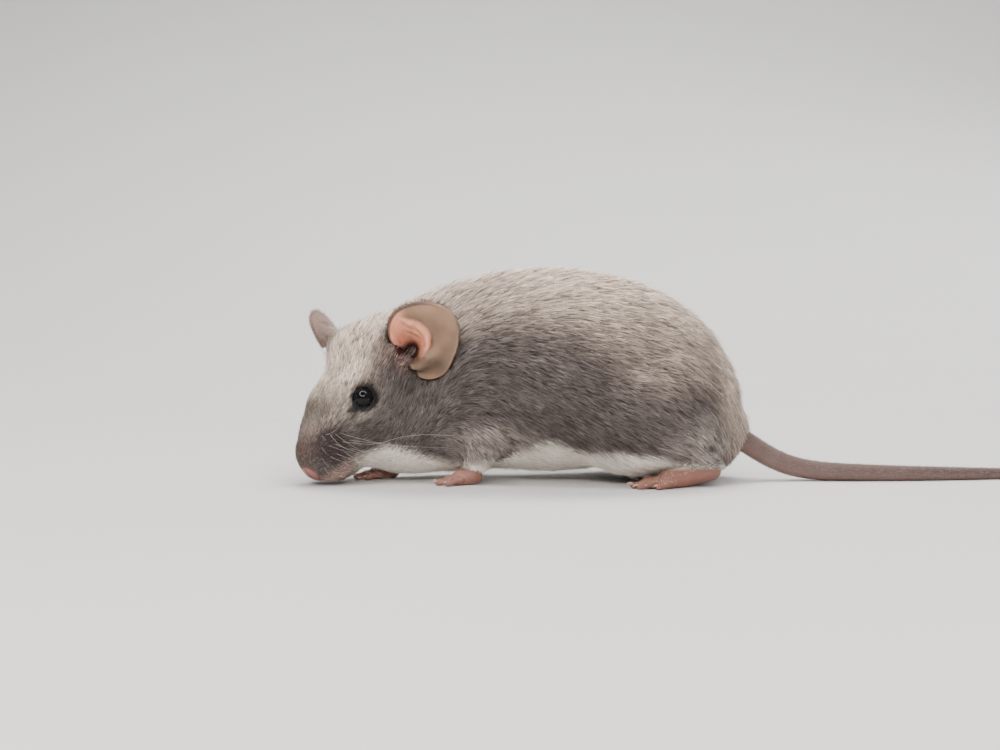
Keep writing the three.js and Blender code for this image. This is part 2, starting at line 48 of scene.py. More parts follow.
TRUNK = {
    "ribs": ((7.5, 0, 18.7), (30.5, 15.6, 17.2), 0),
    "rump": ((26.8, 0, 12.9), (14.3, 12.6, 12.2), 3),
    "haunch": ((23.0, 8.2, 12.3), (12.2, 8.6, 10.8), 3),
    "chest": ((-9.0, 0, 13.7), (12.0, 14.0, 12.0), 5),
    "shoulder": ((-8.5, 7.4, 10.3), (8.6, 6.4, 8.0), 3),
    "tail_root": ((34.6, 0, 7.4), (6.6, 7.0, 6.2), 3),
}
WAIST_FROM, WAIST_OVER, WAIST_NARROWING = 14, 30, 0.38
NECK_ROOT, NECK_END, NECK_RADII, NECK_FLATTENING = (-7, 0, 19.6), (-10, 0, -1.8), (10.4, 8.2), 0.86
THROAT = ((-17.5, -1.8, 8.6), (8.6, 7.0, 7.0))

HEAD_AT = (-26.4, -5.4, 14.7)
HEAD_YAW, HEAD_PITCH, HEAD_ROLL = np.radians((42, 38, -2))
SKULL = ((-7.9, 0, -0.8), (7.85, 8.0, 7.0))
HEAD_BLOBS = (
    ((0.1, 2.3, 0.85), (5.75, 2.5, 2.65), 2.5),
    ((-2.6, 4.2, -5.0), (7.0, 4.2, 4.8), 3.0),
    ((8.35, 1.6, -6.7), (4.0, 2.8, 3.4), 1.6),
    ((4.9, 3.05, -4.1), (4.8, 2.9, 4.6), 2.0),
    ((11.6, 0, -5.9), (1.8, 1.8, 1.7), 1.0),
    ((-11.0, 6.6, 0.8), (4.2, 3.4, 4.2), 2.5),
)
SNOUT = ((0, 0, -1.7), (8.95, 0, -4.65), (4.1, 4.5), 3.0)
JAW = ((-5, 0, -6.2), (6.4, 0, -8.8), (4.8, 2.8), 2.5)
EYE_AT, EYE_RADIUS = np.array((0, 5.25, -0.55)), 1.85
EYE_OUT = np.array((0.26, 0.93, 0.26))
LID_RADIUS, LID_HEIGHT, LID_THICKNESS = 1.60, 1.02, 0.32

NOSTRIL = ((13.0, 0.62, -5.75), (12.15, 1.55, -5.35), (0.17, 0.24))
NOSE_PAD_AT = (13.0, 0, -5.8)

EAR_CANAL, EAR_DEPTH = 1.0, 4.6
EAR_LEAN = (-0.8, -2.1)
EAR_RIM = (
    (-84, 2.6), (-61, 5.4), (-28, 7.1), (0, 7.5), (49, 9.2), (70, 8.6), (100, 7.2), (131, 6.1), (190, 3.2))
EAR_FIRST, EAR_LAST = EAR_RIM[0][0], EAR_RIM[-1][0]
# The shell begins a little after the rim curve's first angle.
EAR_START = -64
# How far out the inner fold runs, as angles and shares of the way to the rim.
EAR_FOLD = ((-20, 4, 30, 50, 72, 108, 135), (0.24, 0.29, 0.34, 0.38, 0.44, 0.58, 0.84))
EARS = {
    "left": ((-9.8, 11.0, 2.5), (0.744, 0.555, 0.372), (-0.62, 0.30, 0.72)),
    "right": ((-9.2, 11.4, 2.4), (0.705, 0.72, -0.065), (-0.459, 0.514, 0.729)),
}

FOREARMS = {
    "left": ((-2.5, -8.0, 8.0), (-4.2, -8.5, 2.6), (3.4, 1.7)),
    "right": ((-11.0, 5.0, 7.5), (-18.2, 0.8, 2.6), (3.4, 1.8)),
}
SHANK = ((27.5, 9.0, 8.0), (34.4, 10.6, 3.4), (4.6, 2.0))

# A foot: place of its heel, turn in degrees, palm (from, to, radii), toe radii,
# and toes as along, aside, length, splay.
FORE_TOES = ((2.4, 1.35, 2.4, 24), (3.0, 0.5, 3.0, 8), (3.0, -0.5, 3.0, -8), (2.4, -1.35, 2.4, -24))
HIND_TOES = (
    (7.6, 1.9, 3.0, 22), (9.2, 1.15, 4.0, 8), (9.4, 0.15, 4.2, 0),
    (9.2, -0.85, 4.0, -8), (7.4, -1.7, 3.0, -22))
FORE_PALM = ((0, 1.4), (2.3, 1.0), (1.45, 1.45))
HIND_PALM = ((0, 2.6), (7.6, 1.15), (1.6, 1.75))
FEET = {
    "fore_left": ((-4.4, -8.6), 8, FORE_PALM, (0.66, 0.45), FORE_TOES),
    "fore_right": ((-18.6, 0.5), 14, FORE_PALM, (0.66, 0.45), FORE_TOES),
    "hind_left": ((34.8, -10.8), 15, HIND_PALM, (0.78, 0.48), HIND_TOES),
    "hind_right": ((34.8, 10.8), -15, HIND_PALM, (0.78, 0.48), HIND_TOES),
}

TAIL_LENGTH, TAIL_ROOT_RADIUS, TAIL_TIP_RADIUS = 82, 1.95, 0.4
TAIL_ROOT_X, TAIL_RISE, TAIL_SWAY, TAIL_SINK = 35.5, 6.2, 3.2, 0.12
TAIL_SIDES = 26

FLOOR_CLEARANCE = 0.02

# ---- colours, as linear light ---------------------------------------------

PALE = np.array((0.565, 0.448, 0.362))
GREY = np.array((0.104, 0.083, 0.076))
WHITE = np.array((0.960, 0.880, 0.765))
CREAM = np.array((0.690, 0.565, 0.455))
PAD = np.array((0.040, 0.024, 0.023))
PINK = np.array((0.265, 0.118, 0.088))
NOSE_PINK = np.array((0.340, 0.152, 0.130))
DARK_LID = np.array((0.009, 0.008, 0.008))
EAR_PEACH = np.array((0.745, 0.320, 0.200))
EAR_RED = np.array((0.420, 0.140, 0.100))
EAR_TAN = np.array((0.226, 0.136, 0.086))
# Painted shade in the ears' canals and in the gaps beside them.
EAR_CANAL_SHADE = np.array((0.050, 0.016, 0.013))
EAR_BASE = np.array((0.150, 0.075, 0.062))
EAR_HAIR = np.array((0.460, 0.340, 0.300))
EAR_EDGE = np.array((0.075, 0.045, 0.036))
EAR_BACK = np.array((0.260, 0.155, 0.122))
EAR_DOWN = np.array((0.380, 0.285, 0.235))
TAIL_TOP = np.array((0.118, 0.071, 0.063))
TAIL_UNDER = np.array((0.205, 0.126, 0.108))
TAIL_HAIR = np.array((0.215, 0.165, 0.145))

# ---- vectors --------------------------------------------------------------


def unit(v):
    v = np.asarray(v, float)
    return v / np.maximum(np.linalg.norm(v, axis=-1, keepdims=True), 1e-12)


def head_axes():
    """The head's forward, left and up directions."""
    cy, sy = np.cos(HEAD_YAW), np.sin(HEAD_YAW)
    cp, sp = np.cos(HEAD_PITCH), np.sin(HEAD_PITCH)
    forward = np.array((-cy * cp, -sy * cp, -sp))
    level = np.array((sy, -cy, 0))
    upright = np.cross(forward, level)
    left = level * np.cos(HEAD_ROLL) - upright * np.sin(HEAD_ROLL)
    up = upright * np.cos(HEAD_ROLL) + level * np.sin(HEAD_ROLL)
    return np.array((forward, left, up))


HEAD_AXES = head_axes()


def to_head(p):
    return (p - np.array(HEAD_AT, np.float32)) @ HEAD_AXES.T.astype(np.float32)


def from_head(q):
    return np.asarray(q, float) @ HEAD_AXES + HEAD_AT


def ear_axes(side):
    """The ear's back, up and open directions as rows, in the body's frame, and its place."""
    at, opening, up = (np.array(v, float) for v in EARS[side])
    opening = unit(opening)
    up = unit(up - opening * (up @ opening))
    back = np.cross(up, opening)
    flip = np.array((1, 1 if side == "left" else -1, 1))
    rows = np.array((back, up, opening)) * flip
    return rows @ HEAD_AXES, from_head(at * flip)


def smooth(low, high, x):
    t = np.clip((x - low) / (high - low), 0, 1)
    return t * t * (3 - 2 * t)


# ---- distance fields ------------------------------------------------------


def ellipsoid(p, at, size):
    size = np.asarray(size, p.dtype)
    q = (p - np.asarray(at, p.dtype)) / size
    near = np.sqrt(np.einsum("ij,ij->i", q, q)) + 1e-6
    q /= size
    slope = np.sqrt(np.einsum("ij,ij->i", q, q)) + 1e-6
    return near * (near - 1) / slope


def round_cone(p, start, end, radii):
    """The space swept by a ball that changes size along a line."""
    start = np.asarray(start, p.dtype)
    line = np.asarray(end, p.dtype) - start
    length = np.sqrt(line @ line)
    offset = p - start
    along = offset @ (line / length)
    across = np.sqrt(np.maximum(np.einsum("ij,ij->i", offset, offset) - along * along, 0))
    slant = (radii[0] - radii[1]) / length
    cosine = np.sqrt(1 - slant * slant)
    side = cosine * along - slant * across
    middle = across * cosine + along * slant - radii[0]
    near = np.sqrt(across * across + along * along) - radii[0]
    far = np.sqrt(across * across + (along - length) ** 2) - radii[1]
    return np.where(side < 0, near, np.where(side > cosine * length, far, middle))


def blend(a, b, width):
    if width == 0:
        return np.minimum(a, b)
    h = np.maximum(width - np.abs(a - b), 0) / width
    return np.minimum(a, b) - h * h * width * 0.25


def blend_out(a, b, width):
    return -blend(-a, -b, width)


def mirrored(p):
    q = p.copy()
    q[:, 1] = np.abs(q[:, 1])
    return q


def head_field(q):
    d = ellipsoid(q, *SKULL)
    d = blend(d, round_cone(q, *SNOUT[:3]), SNOUT[3])
    d = blend(d, round_cone(q, *JAW[:3]), JAW[3])
    for at, size, width in HEAD_BLOBS:
        d = blend(d, ellipsoid(q, at, size), width)
    return d


def neck_field(p):
    squeeze = np.array((1, NECK_FLATTENING, 1), p.dtype)
    end = from_head(NECK_END) / squeeze
    cone = round_cone(p / squeeze, NECK_ROOT / squeeze, end, NECK_RADII)
    return blend(cone * NECK_FLATTENING, ellipsoid(p, *THROAT), 4)


def trunk_field(p):
    t = np.clip((WAIST_FROM - p[:, 0]) / WAIST_OVER, 0, 1)
    width = 1 - WAIST_NARROWING * t * t * (3 - 2 * t)
    q = mirrored(p)
    q[:, 1] /= width
    d = np.full(len(p), 1e3, p.dtype)
    for at, size, softness in TRUNK.values():
        d = blend(d, ellipsoid(q, at, size), softness)
    return d * width


def limbs_field(p):
    d = round_cone(mirrored(p), *SHANK)
    for arm in FOREARMS.values():
        d = np.minimum(d, round_cone(p, *arm))
    return d


def foot_spot(foot, along, aside, height):
    (x, y), turn = foot[0], np.radians(foot[1])
    return np.array((
        x - np.cos(turn) * along + np.sin(turn) * aside,
        y - np.sin(turn) * along - np.cos(turn) * aside,
        height))


def toe_joints(foot, toe):
    """The root, knuckle, neck and end of one toe."""
    along, aside, length, splay = toe
    thick, thin = foot[3]
    splay = np.radians(splay)
    joints = []
    for share, height in ((0, thick + 0.2), (0.45, thick + 0.14), (0.74, thin + 0.05), (0.98, thin - 0.03)):
        reach = share * length
        joints.append(foot_spot(foot, along + np.cos(splay) * reach, aside + np.sin(splay) * reach, height))
    return joints


def feet_field(p):
    d = np.full(len(p), 1e3, p.dtype)
    for foot in FEET.values():
        centre = foot_spot(foot, 5, 0, 1)
        close = np.sum((p - centre.astype(p.dtype)) ** 2, axis=1) < 15 ** 2
        if close.any():
            d[close] = np.minimum(d[close], foot_field(p[close], foot))
    return d


def foot_field(p, foot):
    (start, start_height), (end, end_height), radii = foot[2]
    d = round_cone(p, foot_spot(foot, start, 0, start_height), foot_spot(foot, end, 0, end_height), radii)
    thick, thin = foot[3]
    for toe in foot[4]:
        root, knuckle, waist, end = toe_joints(foot, toe)
        t = round_cone(p, root, knuckle, (thick, thick * 0.86))
        t = blend(t, round_cone(p, knuckle, waist, (thick * 0.84, thin * 0.86)), 0.15)
        t = blend(t, round_cone(p, waist, end, (thin * 0.86, thin * 1.08)), 0.1)
        d = blend(d, t, 0.3)
    return d


def rim_radius(angle):
    """The rim's distance from the canal, on a smooth curve through its table."""
    at, radius = np.array(EAR_RIM, float).T
    i = np.clip(np.searchsorted(at, angle, side="right") - 1, 0, len(at) - 2)
    index = np.arange(len(at))
    before, after = np.maximum(index - 1, 0), np.minimum(index + 1, len(at) - 1)
    slope = (radius[after] - radius[before]) / (at[after] - at[before])
    span = at[i + 1] - at[i]
    t = (angle - at[i]) / span
    return ((2 * t ** 3 - 3 * t ** 2 + 1) * radius[i] + (t ** 3 - 2 * t ** 2 + t) * slope[i] * span
            + (3 * t ** 2 - 2 * t ** 3) * radius[i + 1] + (t ** 3 - t ** 2) * slope[i + 1] * span)


def fold_at(angle):
    """How far out the ear's inner fold runs."""
    return np.interp(angle, *EAR_FOLD)


def ear_height(angle, outward):
    """How far the ear's cup lies below its rim, with the inner fold and the rear lobe."""
    steepness = 2.6 + 1.2 * np.cos(np.radians(angle + 30))
    height = -EAR_DEPTH * (1 - outward) ** steepness
    fold = np.exp(-((outward - fold_at(angle) + 0.03) / 0.07) ** 2)
    height = height + 0.95 * fold * smooth(-25, 5, angle) * smooth(130, 100, angle)
    for share, size in ((0.64, 0.40), (0.40, 0.25)):
        arc = np.exp(-((outward - share * fold_at(angle)) / 0.045) ** 2)
        height = height + size * arc * smooth(-10, 20, angle) * smooth(140, 100, angle)
    lobe = np.exp(-((outward - 0.36) / 0.24) ** 2) * smooth(-84, -62, angle) * smooth(30, -8, angle)
    return height + 1.7 * lobe


def ear_cup_field(p, side):
    """Below zero inside the ear's cup, in front of its sheet."""
    rows, at = ear_axes(side)
    q = (p - at) @ rows.T
    d = np.full(len(p), 50.0)
    close = np.einsum("ij,ij->i", q, q) < 13 ** 2
    x, y, z = q[close].T
    outward = np.zeros(len(x))
    for _ in range(3):
        lean = (1 - outward) ** 2
        u, v = x - EAR_LEAN[0] * lean, y - EAR_LEAN[1] * lean
        angle = (np.degrees(np.arctan2(v, u)) - EAR_FIRST) % 360 + EAR_FIRST
        gap = 1.7 - (angle - EAR_LAST) / 86 * 0.3
        rim = np.where(angle > EAR_LAST, gap, rim_radius(np.minimum(angle, EAR_LAST)))
        outward = np.clip((np.hypot(u, v) - EAR_CANAL) / (rim - EAR_CANAL), 0, 1)
    below = (ear_height(np.minimum(angle, EAR_LAST), outward) - 0.3 - z) * 0.7
    margin = 0.12 * smooth(175, 140, angle)
    d[close] = np.maximum.reduce((below, np.hypot(u, v) - rim - margin, z - 4.5))
    return d


def coat_depth(p, q):
    """How far the skin lies below the tips of the coat."""
    depth = np.interp(q[:, 0], (-16, -8, 0, 6, 10, 12), (1.15, 0.8, 0.5, 0.3, 0.12, 0.0))
    to_tail = np.hypot(p[:, 1], p[:, 2] - 7.2) + 0.3 * np.maximum(33 - p[:, 0], 0)
    return (depth * smooth(1.0, 5.0, to_tail) * np.interp(p[:, 2], (1, 6), (0.45, 1))).astype(p.dtype)


def lids_field(q):
    """The ring of the eyelids, longer from front to back."""
    offset = q - (EYE_AT + unit(EYE_OUT) * LID_HEIGHT).astype(q.dtype)
    along = unit(np.cross(np.cross(EYE_OUT, (1, 0.1, -0.35)), EYE_OUT))
    across = np.cross(unit(EYE_OUT), along)
    out = offset @ unit(EYE_OUT).astype(q.dtype)
    u = offset @ along.astype(q.dtype)
    v = offset @ across.astype(q.dtype)
    u = np.where(u > 0, u / 1.26, u / 1.09)
    v = np.where(v > 0, v * 1.06, v * 1.20)
    return np.hypot(np.hypot(u, v) - LID_RADIUS, out + 0.13 * u * u) - LID_THICKNESS


def muzzle_details(d, q):
    """Nose pad with its nostrils, the groove below it and the line of the mouth."""
    d = blend(d, ellipsoid(q, (12.1, 0.72, -5.75), (1.25, 0.95, 1.1)), 0.5)
    groove = ellipsoid(q, (13.1, 0, -7.2), (1.5, 0.16, 2.6))
    d = blend_out(d, -groove, 0.35)
    d = blend_out(d, -round_cone(q, *NOSTRIL), 0.2)
    line = -9.35 + 0.03 * (9.5 - q[:, 0]) ** 2
    slit = np.maximum(np.abs(q[:, 2] - line) - 0.16, -d - 0.55)
    slit = np.maximum(slit, 3.6 - q[:, 0])
    return blend_out(d, -slit, 0.3)


def skin_field(p):
    q = mirrored(to_head(p))
    d = blend(trunk_field(p), neck_field(p), 4)
    d = blend(d, head_field(q), 3)
    d = blend(d, limbs_field(p), 1.5) + coat_depth(p, q)
    for side in EARS:
        d = blend_out(d, -ear_cup_field(p, side).astype(p.dtype), 0.4)
    d = blend(d, lids_field(q), 0.7)
    d = np.maximum(d, EYE_RADIUS + 0.02 - np.linalg.norm(q - EYE_AT.astype(p.dtype), axis=1))
    d = muzzle_details(d, q)
    d = blend(d, feet_field(p), 0.5)
    return np.maximum(d, 0.03 - p[:, 2])


def in_chunks(function, p, size=150000):
    p = np.ascontiguousarray(p, np.float32)
    return np.concatenate([function(p[i:i + size]) for i in range(0, len(p), size)])


def gradient(field, p, step=0.04):
    parts = []
    for axis in range(3):
        shift = np.zeros(3, np.float32)
        shift[axis] = step
        parts.append(in_chunks(field, p + shift) - in_chunks(field, p - shift))
    return np.stack(parts, 1) / (2 * step)


# ---- a mesh from a field --------------------------------------------------

CORNERS = np.array([(c & 1, (c >> 1) & 1, c >> 2) for c in range(8)])
CELL_EDGES = [(a, a | bit) for a in range(8) for bit in (1, 2, 4) if not a & bit]


def sampled(field, low, cell, counts):
    """The field's values on a grid, one slice of x at a time."""
    axes = [low[i] + cell * np.arange(counts[i], dtype=np.float32) for i in range(3)]
    y, z = np.meshgrid(axes[1], axes[2], indexing="ij")
    values = np.empty(counts, np.float32)
    for i, x in enumerate(axes[0]):
        points = np.stack((np.full(y.size, x, np.float32), y.ravel(), z.ravel()), 1)
        values[i] = field(points).reshape(counts[1:])
    return values


def net_points(values, cells, low, cell):
    """One point in each cell, in the middle of where the surface crosses its edges."""
    corner = np.stack([values[tuple((cells + c).T)] for c in CORNERS], 1)
    total = np.zeros((len(cells), 3))
    crossings = np.zeros(len(cells))
    for a, b in CELL_EDGES:
        crossed = (corner[:, a] < 0) != (corner[:, b] < 0)
        t = np.where(crossed, corner[:, a] / (corner[:, a] - corner[:, b] + 1e-20), 0)
        place = CORNERS[a] + t[:, None] * (CORNERS[b] - CORNERS[a])
        total += np.where(crossed[:, None], place, 0)
        crossings += crossed
    return low + (cells + total / crossings[:, None]) * cell


def surface_net(field, low, high, cell):
    """Points and quads of the field's surface."""
    low = np.asarray(low, np.float32)
    counts = np.ceil((np.asarray(high) - low) / cell).astype(int) + 1
    values = sampled(field, low, cell, counts)
    inside = values < 0
    found = sum(
        inside[tuple(slice(c, n - 1 + c) for c, n in zip(corner, counts))].astype(np.int8)
        for corner in CORNERS)
    cells = np.argwhere((found > 0) & (found < 8))
    index = np.full(found.shape, -1, np.int32)
    index[tuple(cells.T)] = np.arange(len(cells))
    quads = []
    for axis in range(3):
        ahead = np.eye(3, dtype=int)[axis]
        u, v = np.eye(3, dtype=int)[(axis + 1) % 3], np.eye(3, dtype=int)[(axis + 2) % 3]
        start = inside[tuple(slice(0, n - a) for n, a in zip(counts, ahead))]
        end = inside[tuple(slice(a, n) for n, a in zip(counts, ahead))]
        edges = np.argwhere(start != end)
        ring = np.stack([index[tuple((edges - s).T)] for s in (u + v, v, 0 * u, u)], 1)
        outward = inside[tuple(edges.T)]
        quads.append(np.where(outward[:, None], ring, ring[:, ::-1]))
    return net_points(values, cells, low, cell), np.concatenate(quads)


def settled(field, points, rounds=3):
    """The points moved onto the field's surface."""
    for _ in range(rounds):
        d = in_chunks(field, points)
        g = gradient(field, points)
        move = -g * (d / np.maximum((g * g).sum(1), 0.2))[:, None]
        size = np.linalg.norm(move, axis=1, keepdims=True)
        points = points + move * np.minimum(1, 0.12 / np.maximum(size, 1e-9))
    return points


# ---- Blender meshes -------------------------------------------------------

EYE_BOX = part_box("eye_left")
EYE_CENTRE = np.array(EYE_BOX[0] + EYE_BOX[1]) / 2
SHIFT = EYE_CENTRE - from_head(EYE_AT) / 1000


def in_frame(points):
    return np.asarray(points, float) / 1000 + SHIFT


def mesh_object(name, points, faces, material, nodes=None, slot="fur"):
    """A mesh object from points in millimetres and faces that all have as many corners."""
    mesh = bpy.data.meshes.new(name)
    faces = np.asarray(faces, np.int32)
    count, corners = faces.shape
    mesh.vertices.add(len(points))
    mesh.vertices.foreach_set("co", in_frame(points).astype(np.float32).ravel())
    mesh.loops.add(count * corners)
    mesh.loops.foreach_set("vertex_index", faces.ravel())
    mesh.polygons.add(count)
    mesh.polygons.foreach_set("loop_start", np.arange(0, count * corners, corners, dtype=np.int32))
    mesh.polygons.foreach_set("use_smooth", np.ones(count, bool))
    mesh.update(calc_edges=True)
    return placed(name, mesh, material, nodes)


def placed(name, mesh, material, nodes):
    thing = bpy.data.objects.new(name, mesh)
    bpy.context.scene.collection.objects.link(thing)
    mesh.materials.append(material)
    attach(thing, "root")
    if nodes:
        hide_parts(*nodes)
    return thing


def paint(thing, name, colours):
    """Gives each of the mesh's points a colour."""
    layer = thing.data.color_attributes.new(name, "FLOAT_COLOR", "POINT")
    rgba = np.ones((len(colours), 4), np.float32)
    rgba[:, :3] = colours
    layer.data.foreach_set("color", rgba.ravel())


def measure(thing, name, values):
    """Gives each of the mesh's points a number."""
    layer = thing.data.attributes.new(name, "FLOAT", "POINT")
    layer.data.foreach_set("value", np.asarray(values, np.float32))


# ---- noise and cells ------------------------------------------------------


def hashed(cells, salt):
    """A number from 0 to 1 for each whole-numbered cell."""
    c = cells.astype(np.int64)
    h = (c[:, 0] * 73856093) ^ (c[:, 1] * 19349663) ^ (c[:, 2] * 83492791) ^ (salt * 2654435761)
    h = (h ^ (h >> 13)) * 1274126177 & 0xFFFFFFFF
    h = (h ^ (h >> 16)) * 2246822519 & 0xFFFFFFFF
    return (h ^ (h >> 15)) / 4294967295.0


def noise(p, size, salt=0):
    """Soft noise from -1 to 1 with lumps of about this size."""
    s = p / size
    base = np.floor(s)
    t = s - base
    t = t * t * (3 - 2 * t)
    total = np.zeros(len(p))
    for corner in CORNERS:
        weight = np.prod(np.where(corner, t, 1 - t), axis=1)
        total += weight * hashed(base + corner, salt)
    return total * 2 - 1


def nearest_seed(p, size, salt):
    """For each point, the nearest of seeds scattered one to a cell, and two random numbers for that seed."""
    s = p / size
    base = np.floor(s)
    best = np.full(len(p), 1e9)
    seed = np.zeros_like(s)
    cell = np.zeros_like(s)
    for dx in (-1, 0, 1):
        for dy in (-1, 0, 1):
            for dz in (-1, 0, 1):
                c = base + (dx, dy, dz)
                at = c + np.stack([hashed(c, salt + k) for k in range(3)], 1)
                distance = ((at - s) ** 2).sum(1)
                closer = distance < best
                best = np.where(closer, distance, best)
                seed[closer] = at[closer]
                cell[closer] = c[closer]
    return seed * size, hashed(cell, salt + 7), hashed(cell, salt + 8)


# ---- markings -------------------------------------------------------------

BELLY_X = (-36, -29, -24, -19, -8, -2, 3, 8, 16, 24, 30, 34, 40)
BELLY_TOP = (-6, 0.5, 4.6, 6.4, 3.9, 3.9, 6.0, 7.4, 6.3, 5.8, 4.0, 2.8, 2.8)

# Patches of colour: centre, size, colour, strength, softness. Each is for both sides.
BODY_PATCHES = (
    ((-1.0, 11.0, 6.5), (7.0, 7.0, 3.2), (0.340, 0.285, 0.250), 0.75, 0.7),
    ((33.5, 11.0, 6.5), (6.0, 8.0, 4.5), (0.345, 0.293, 0.259), 0.8, 0.7),
    ((-6.5, 4.5, 30.0), (8.0, 6.0, 5.0), (0.400, 0.320, 0.265), 0.7, 0.7),
)
HEAD_PATCHES = (
    ((-1.6, 0, 4.2), (9.0, 6.0, 5.0), CREAM, 0.92, 0.8),
    ((-9.0, 4.0, 5.0), (8.0, 8.0, 4.0), PALE, 0.8, 0.8),
    ((-0.6, 0, 3.0), (3.4, 4.0, 2.8), (0.54, 0.445, 0.358), 0.9, 0.7),
    ((-7.0, 9.6, -3.0), (5.0, 4.0, 3.0), (0.065, 0.050, 0.045), 0.8, 0.7),
    ((-4.2, 8.2, 0.6), (3.4, 3.2, 2.4), (0.085, 0.066, 0.058), 0.8, 0.6),
    ((-8.1, 7.3, 3.2), (2.8, 2.6, 2.0), (0.150, 0.105, 0.085), 0.85, 0.6),
    ((5.8, 0, 0.8), (5.0, 4.2, 3.0), (0.130, 0.102, 0.081), 0.85, 0.7),
    ((11.2, 0, -1.8), (3.2, 2.8, 2.8), (0.118, 0.074, 0.060), 0.9, 0.6),
    ((3.6, 5.6, -3.2), (4.6, 3.0, 2.2), (0.095, 0.077, 0.067), 0.8, 0.6),
    ((1.9, 6.2, -2.5), (2.6, 3.0, 0.7), (0.29, 0.245, 0.205), 0.75, 0.5),
    ((9.2, 4.0, -2.9), (3.0, 3.2, 3.0), PAD, 0.96, 0.45),
    ((10.8, 3.0, -8.6), (4.6, 4.4, 1.9), (0.45, 0.305, 0.255), 0.9, 0.6),
    (NOSE_PAD_AT, (1.7, 1.9, 1.7), (0.35, 0.150, 0.128), 0.95, 0.4),
    ((0.15, 6.0, -0.35), (2.45, 3.0, 2.2), DARK_LID, 0.98, 0.18),
    ((2.8, 5.2, -0.85), (0.9, 2.0, 0.55), DARK_LID, 0.9, 0.4),
    ((0.6, 3.8, 2.6), (0.42, 1.5, 0.42), (0.10, 0.07, 0.06), 0.75, 0.5),
    # Painted shade: the dark slit between each ear's lower lobe and the head.
    ((-7.9, 9.4, 0.7), (2.2, 2.4, 2.2), (0.110, 0.066, 0.054), 0.85, 0.6),
)


def coat_colour(p, n):
    """The coat's markings: pale back, grey flanks, white underside, and the face, with painted light and
    sheen on top and painted rim light at the rump's rear.
    """
    q = mirrored(to_head(p))
    lumps = noise(p, 6.0, 3) * 0.6 + noise(p, 2.6, 4) * 0.4
    by_height = (p[:, 2] - 10) / 25
    behind = 0.85 * smooth(8, 26, p[:, 0])
    # Pale where the skin faces up, and higher up on the rear body: partly the coat's own pale back, partly
    # painted light and sheen from above.
    pale_back_and_top_light = smooth(0.12, 0.82, n[:, 2] + (by_height - n[:, 2]) * behind + 0.12 * lumps)
    # Pale at the rear of the rump: partly the coat's colour, partly painted rim light from behind.
    rear = smooth(33.0, 39.0, p[:, 0] + 0.25 * (p[:, 2] - 14)) * 0.9
    colour = GREY + (PALE - GREY) * np.maximum(pale_back_and_top_light, rear)[:, None]
    for patches, place in ((BODY_PATCHES, mirrored(p)), (HEAD_PATCHES, q)):
        for at, size, patch, strength, softness in patches:
            near = np.linalg.norm((place - at) / size, axis=1)
            share = strength * smooth(1 + softness, 1 - softness, near)
            colour = colour + (patch - colour) * share[:, None]
    edge = np.interp(p[:, 0], BELLY_X, BELLY_TOP) + 0.7 * lumps
    under = smooth(edge + 1.1, edge - 1.1, p[:, 2])
    under = under * smooth(9.0, 4.0, q[:, 0])
    return colour + (WHITE - colour) * under[:, None]


def ear_distance(p):
    """How far each point is from the nearest cup of an ear."""
    return np.minimum(*(in_chunks(lambda r, s=side: ear_cup_field(r, s), p) for side in EARS))


def bareness(p):
    """1 where the skin is bare: nose pad, lids, mouth and feet."""
    q = mirrored(to_head(p))
    nose = smooth(1.2, 0.85, np.linalg.norm((q - NOSE_PAD_AT) / (1.5, 1.7, 1.45), axis=1))
    groove = smooth(0.45, 0.25, q[:, 1]) * smooth(9.5, 11, q[:, 0]) * smooth(-5.5, -6.5, q[:, 2])
    lids = smooth(0.35, 0.10, in_chunks(lids_field, q))
    feet = smooth(0.45, 0.15, in_chunks(feet_field, p))
    feet = feet * smooth(3.6, 2.7, p[:, 2])
    return np.maximum.reduce((nose, groove, lids, feet))


def ear_shares(p):
    """How far each point gets painted shade in and around an ear's canal (the canal, the slit beside the
    lower lobe and the gap ahead of the canal), and how far it belongs to the bare pink skin in front of it.
    """
    cup = smooth(0.4, 0.0, ear_distance(p))
    canal, base = np.zeros(len(p)), np.zeros(len(p))
    for side in EARS:
        rows, at = ear_axes(side)
        x, y, z = ((p - at) @ rows.T).T
        reach = np.hypot(x, y)
        near = smooth(5.0, 4.0, np.abs(z))
        angle = np.degrees(np.arctan2(y, x))
        slit = smooth(-54, -62, angle) * smooth(-104, -92, angle) * smooth(5.6, 4.8, reach)
        ahead = smooth(3.5, 2.7, reach) * smooth(1.0, -0.5, x) * smooth(1.0, -0.5, y)
        # Painted shade: the canal, the slit beside the lower lobe, and the gap ahead of the canal.
        canal = np.maximum(canal, cup * near * np.maximum(smooth(3.0, 2.2, reach), slit))
        canal = np.maximum(canal, 0.9 * near * ahead)
        base = np.maximum(base, near * smooth(5.2, 4.2, reach) * smooth(1.0, -1.0, x) * smooth(1.5, 0.0, y))
    return canal, base


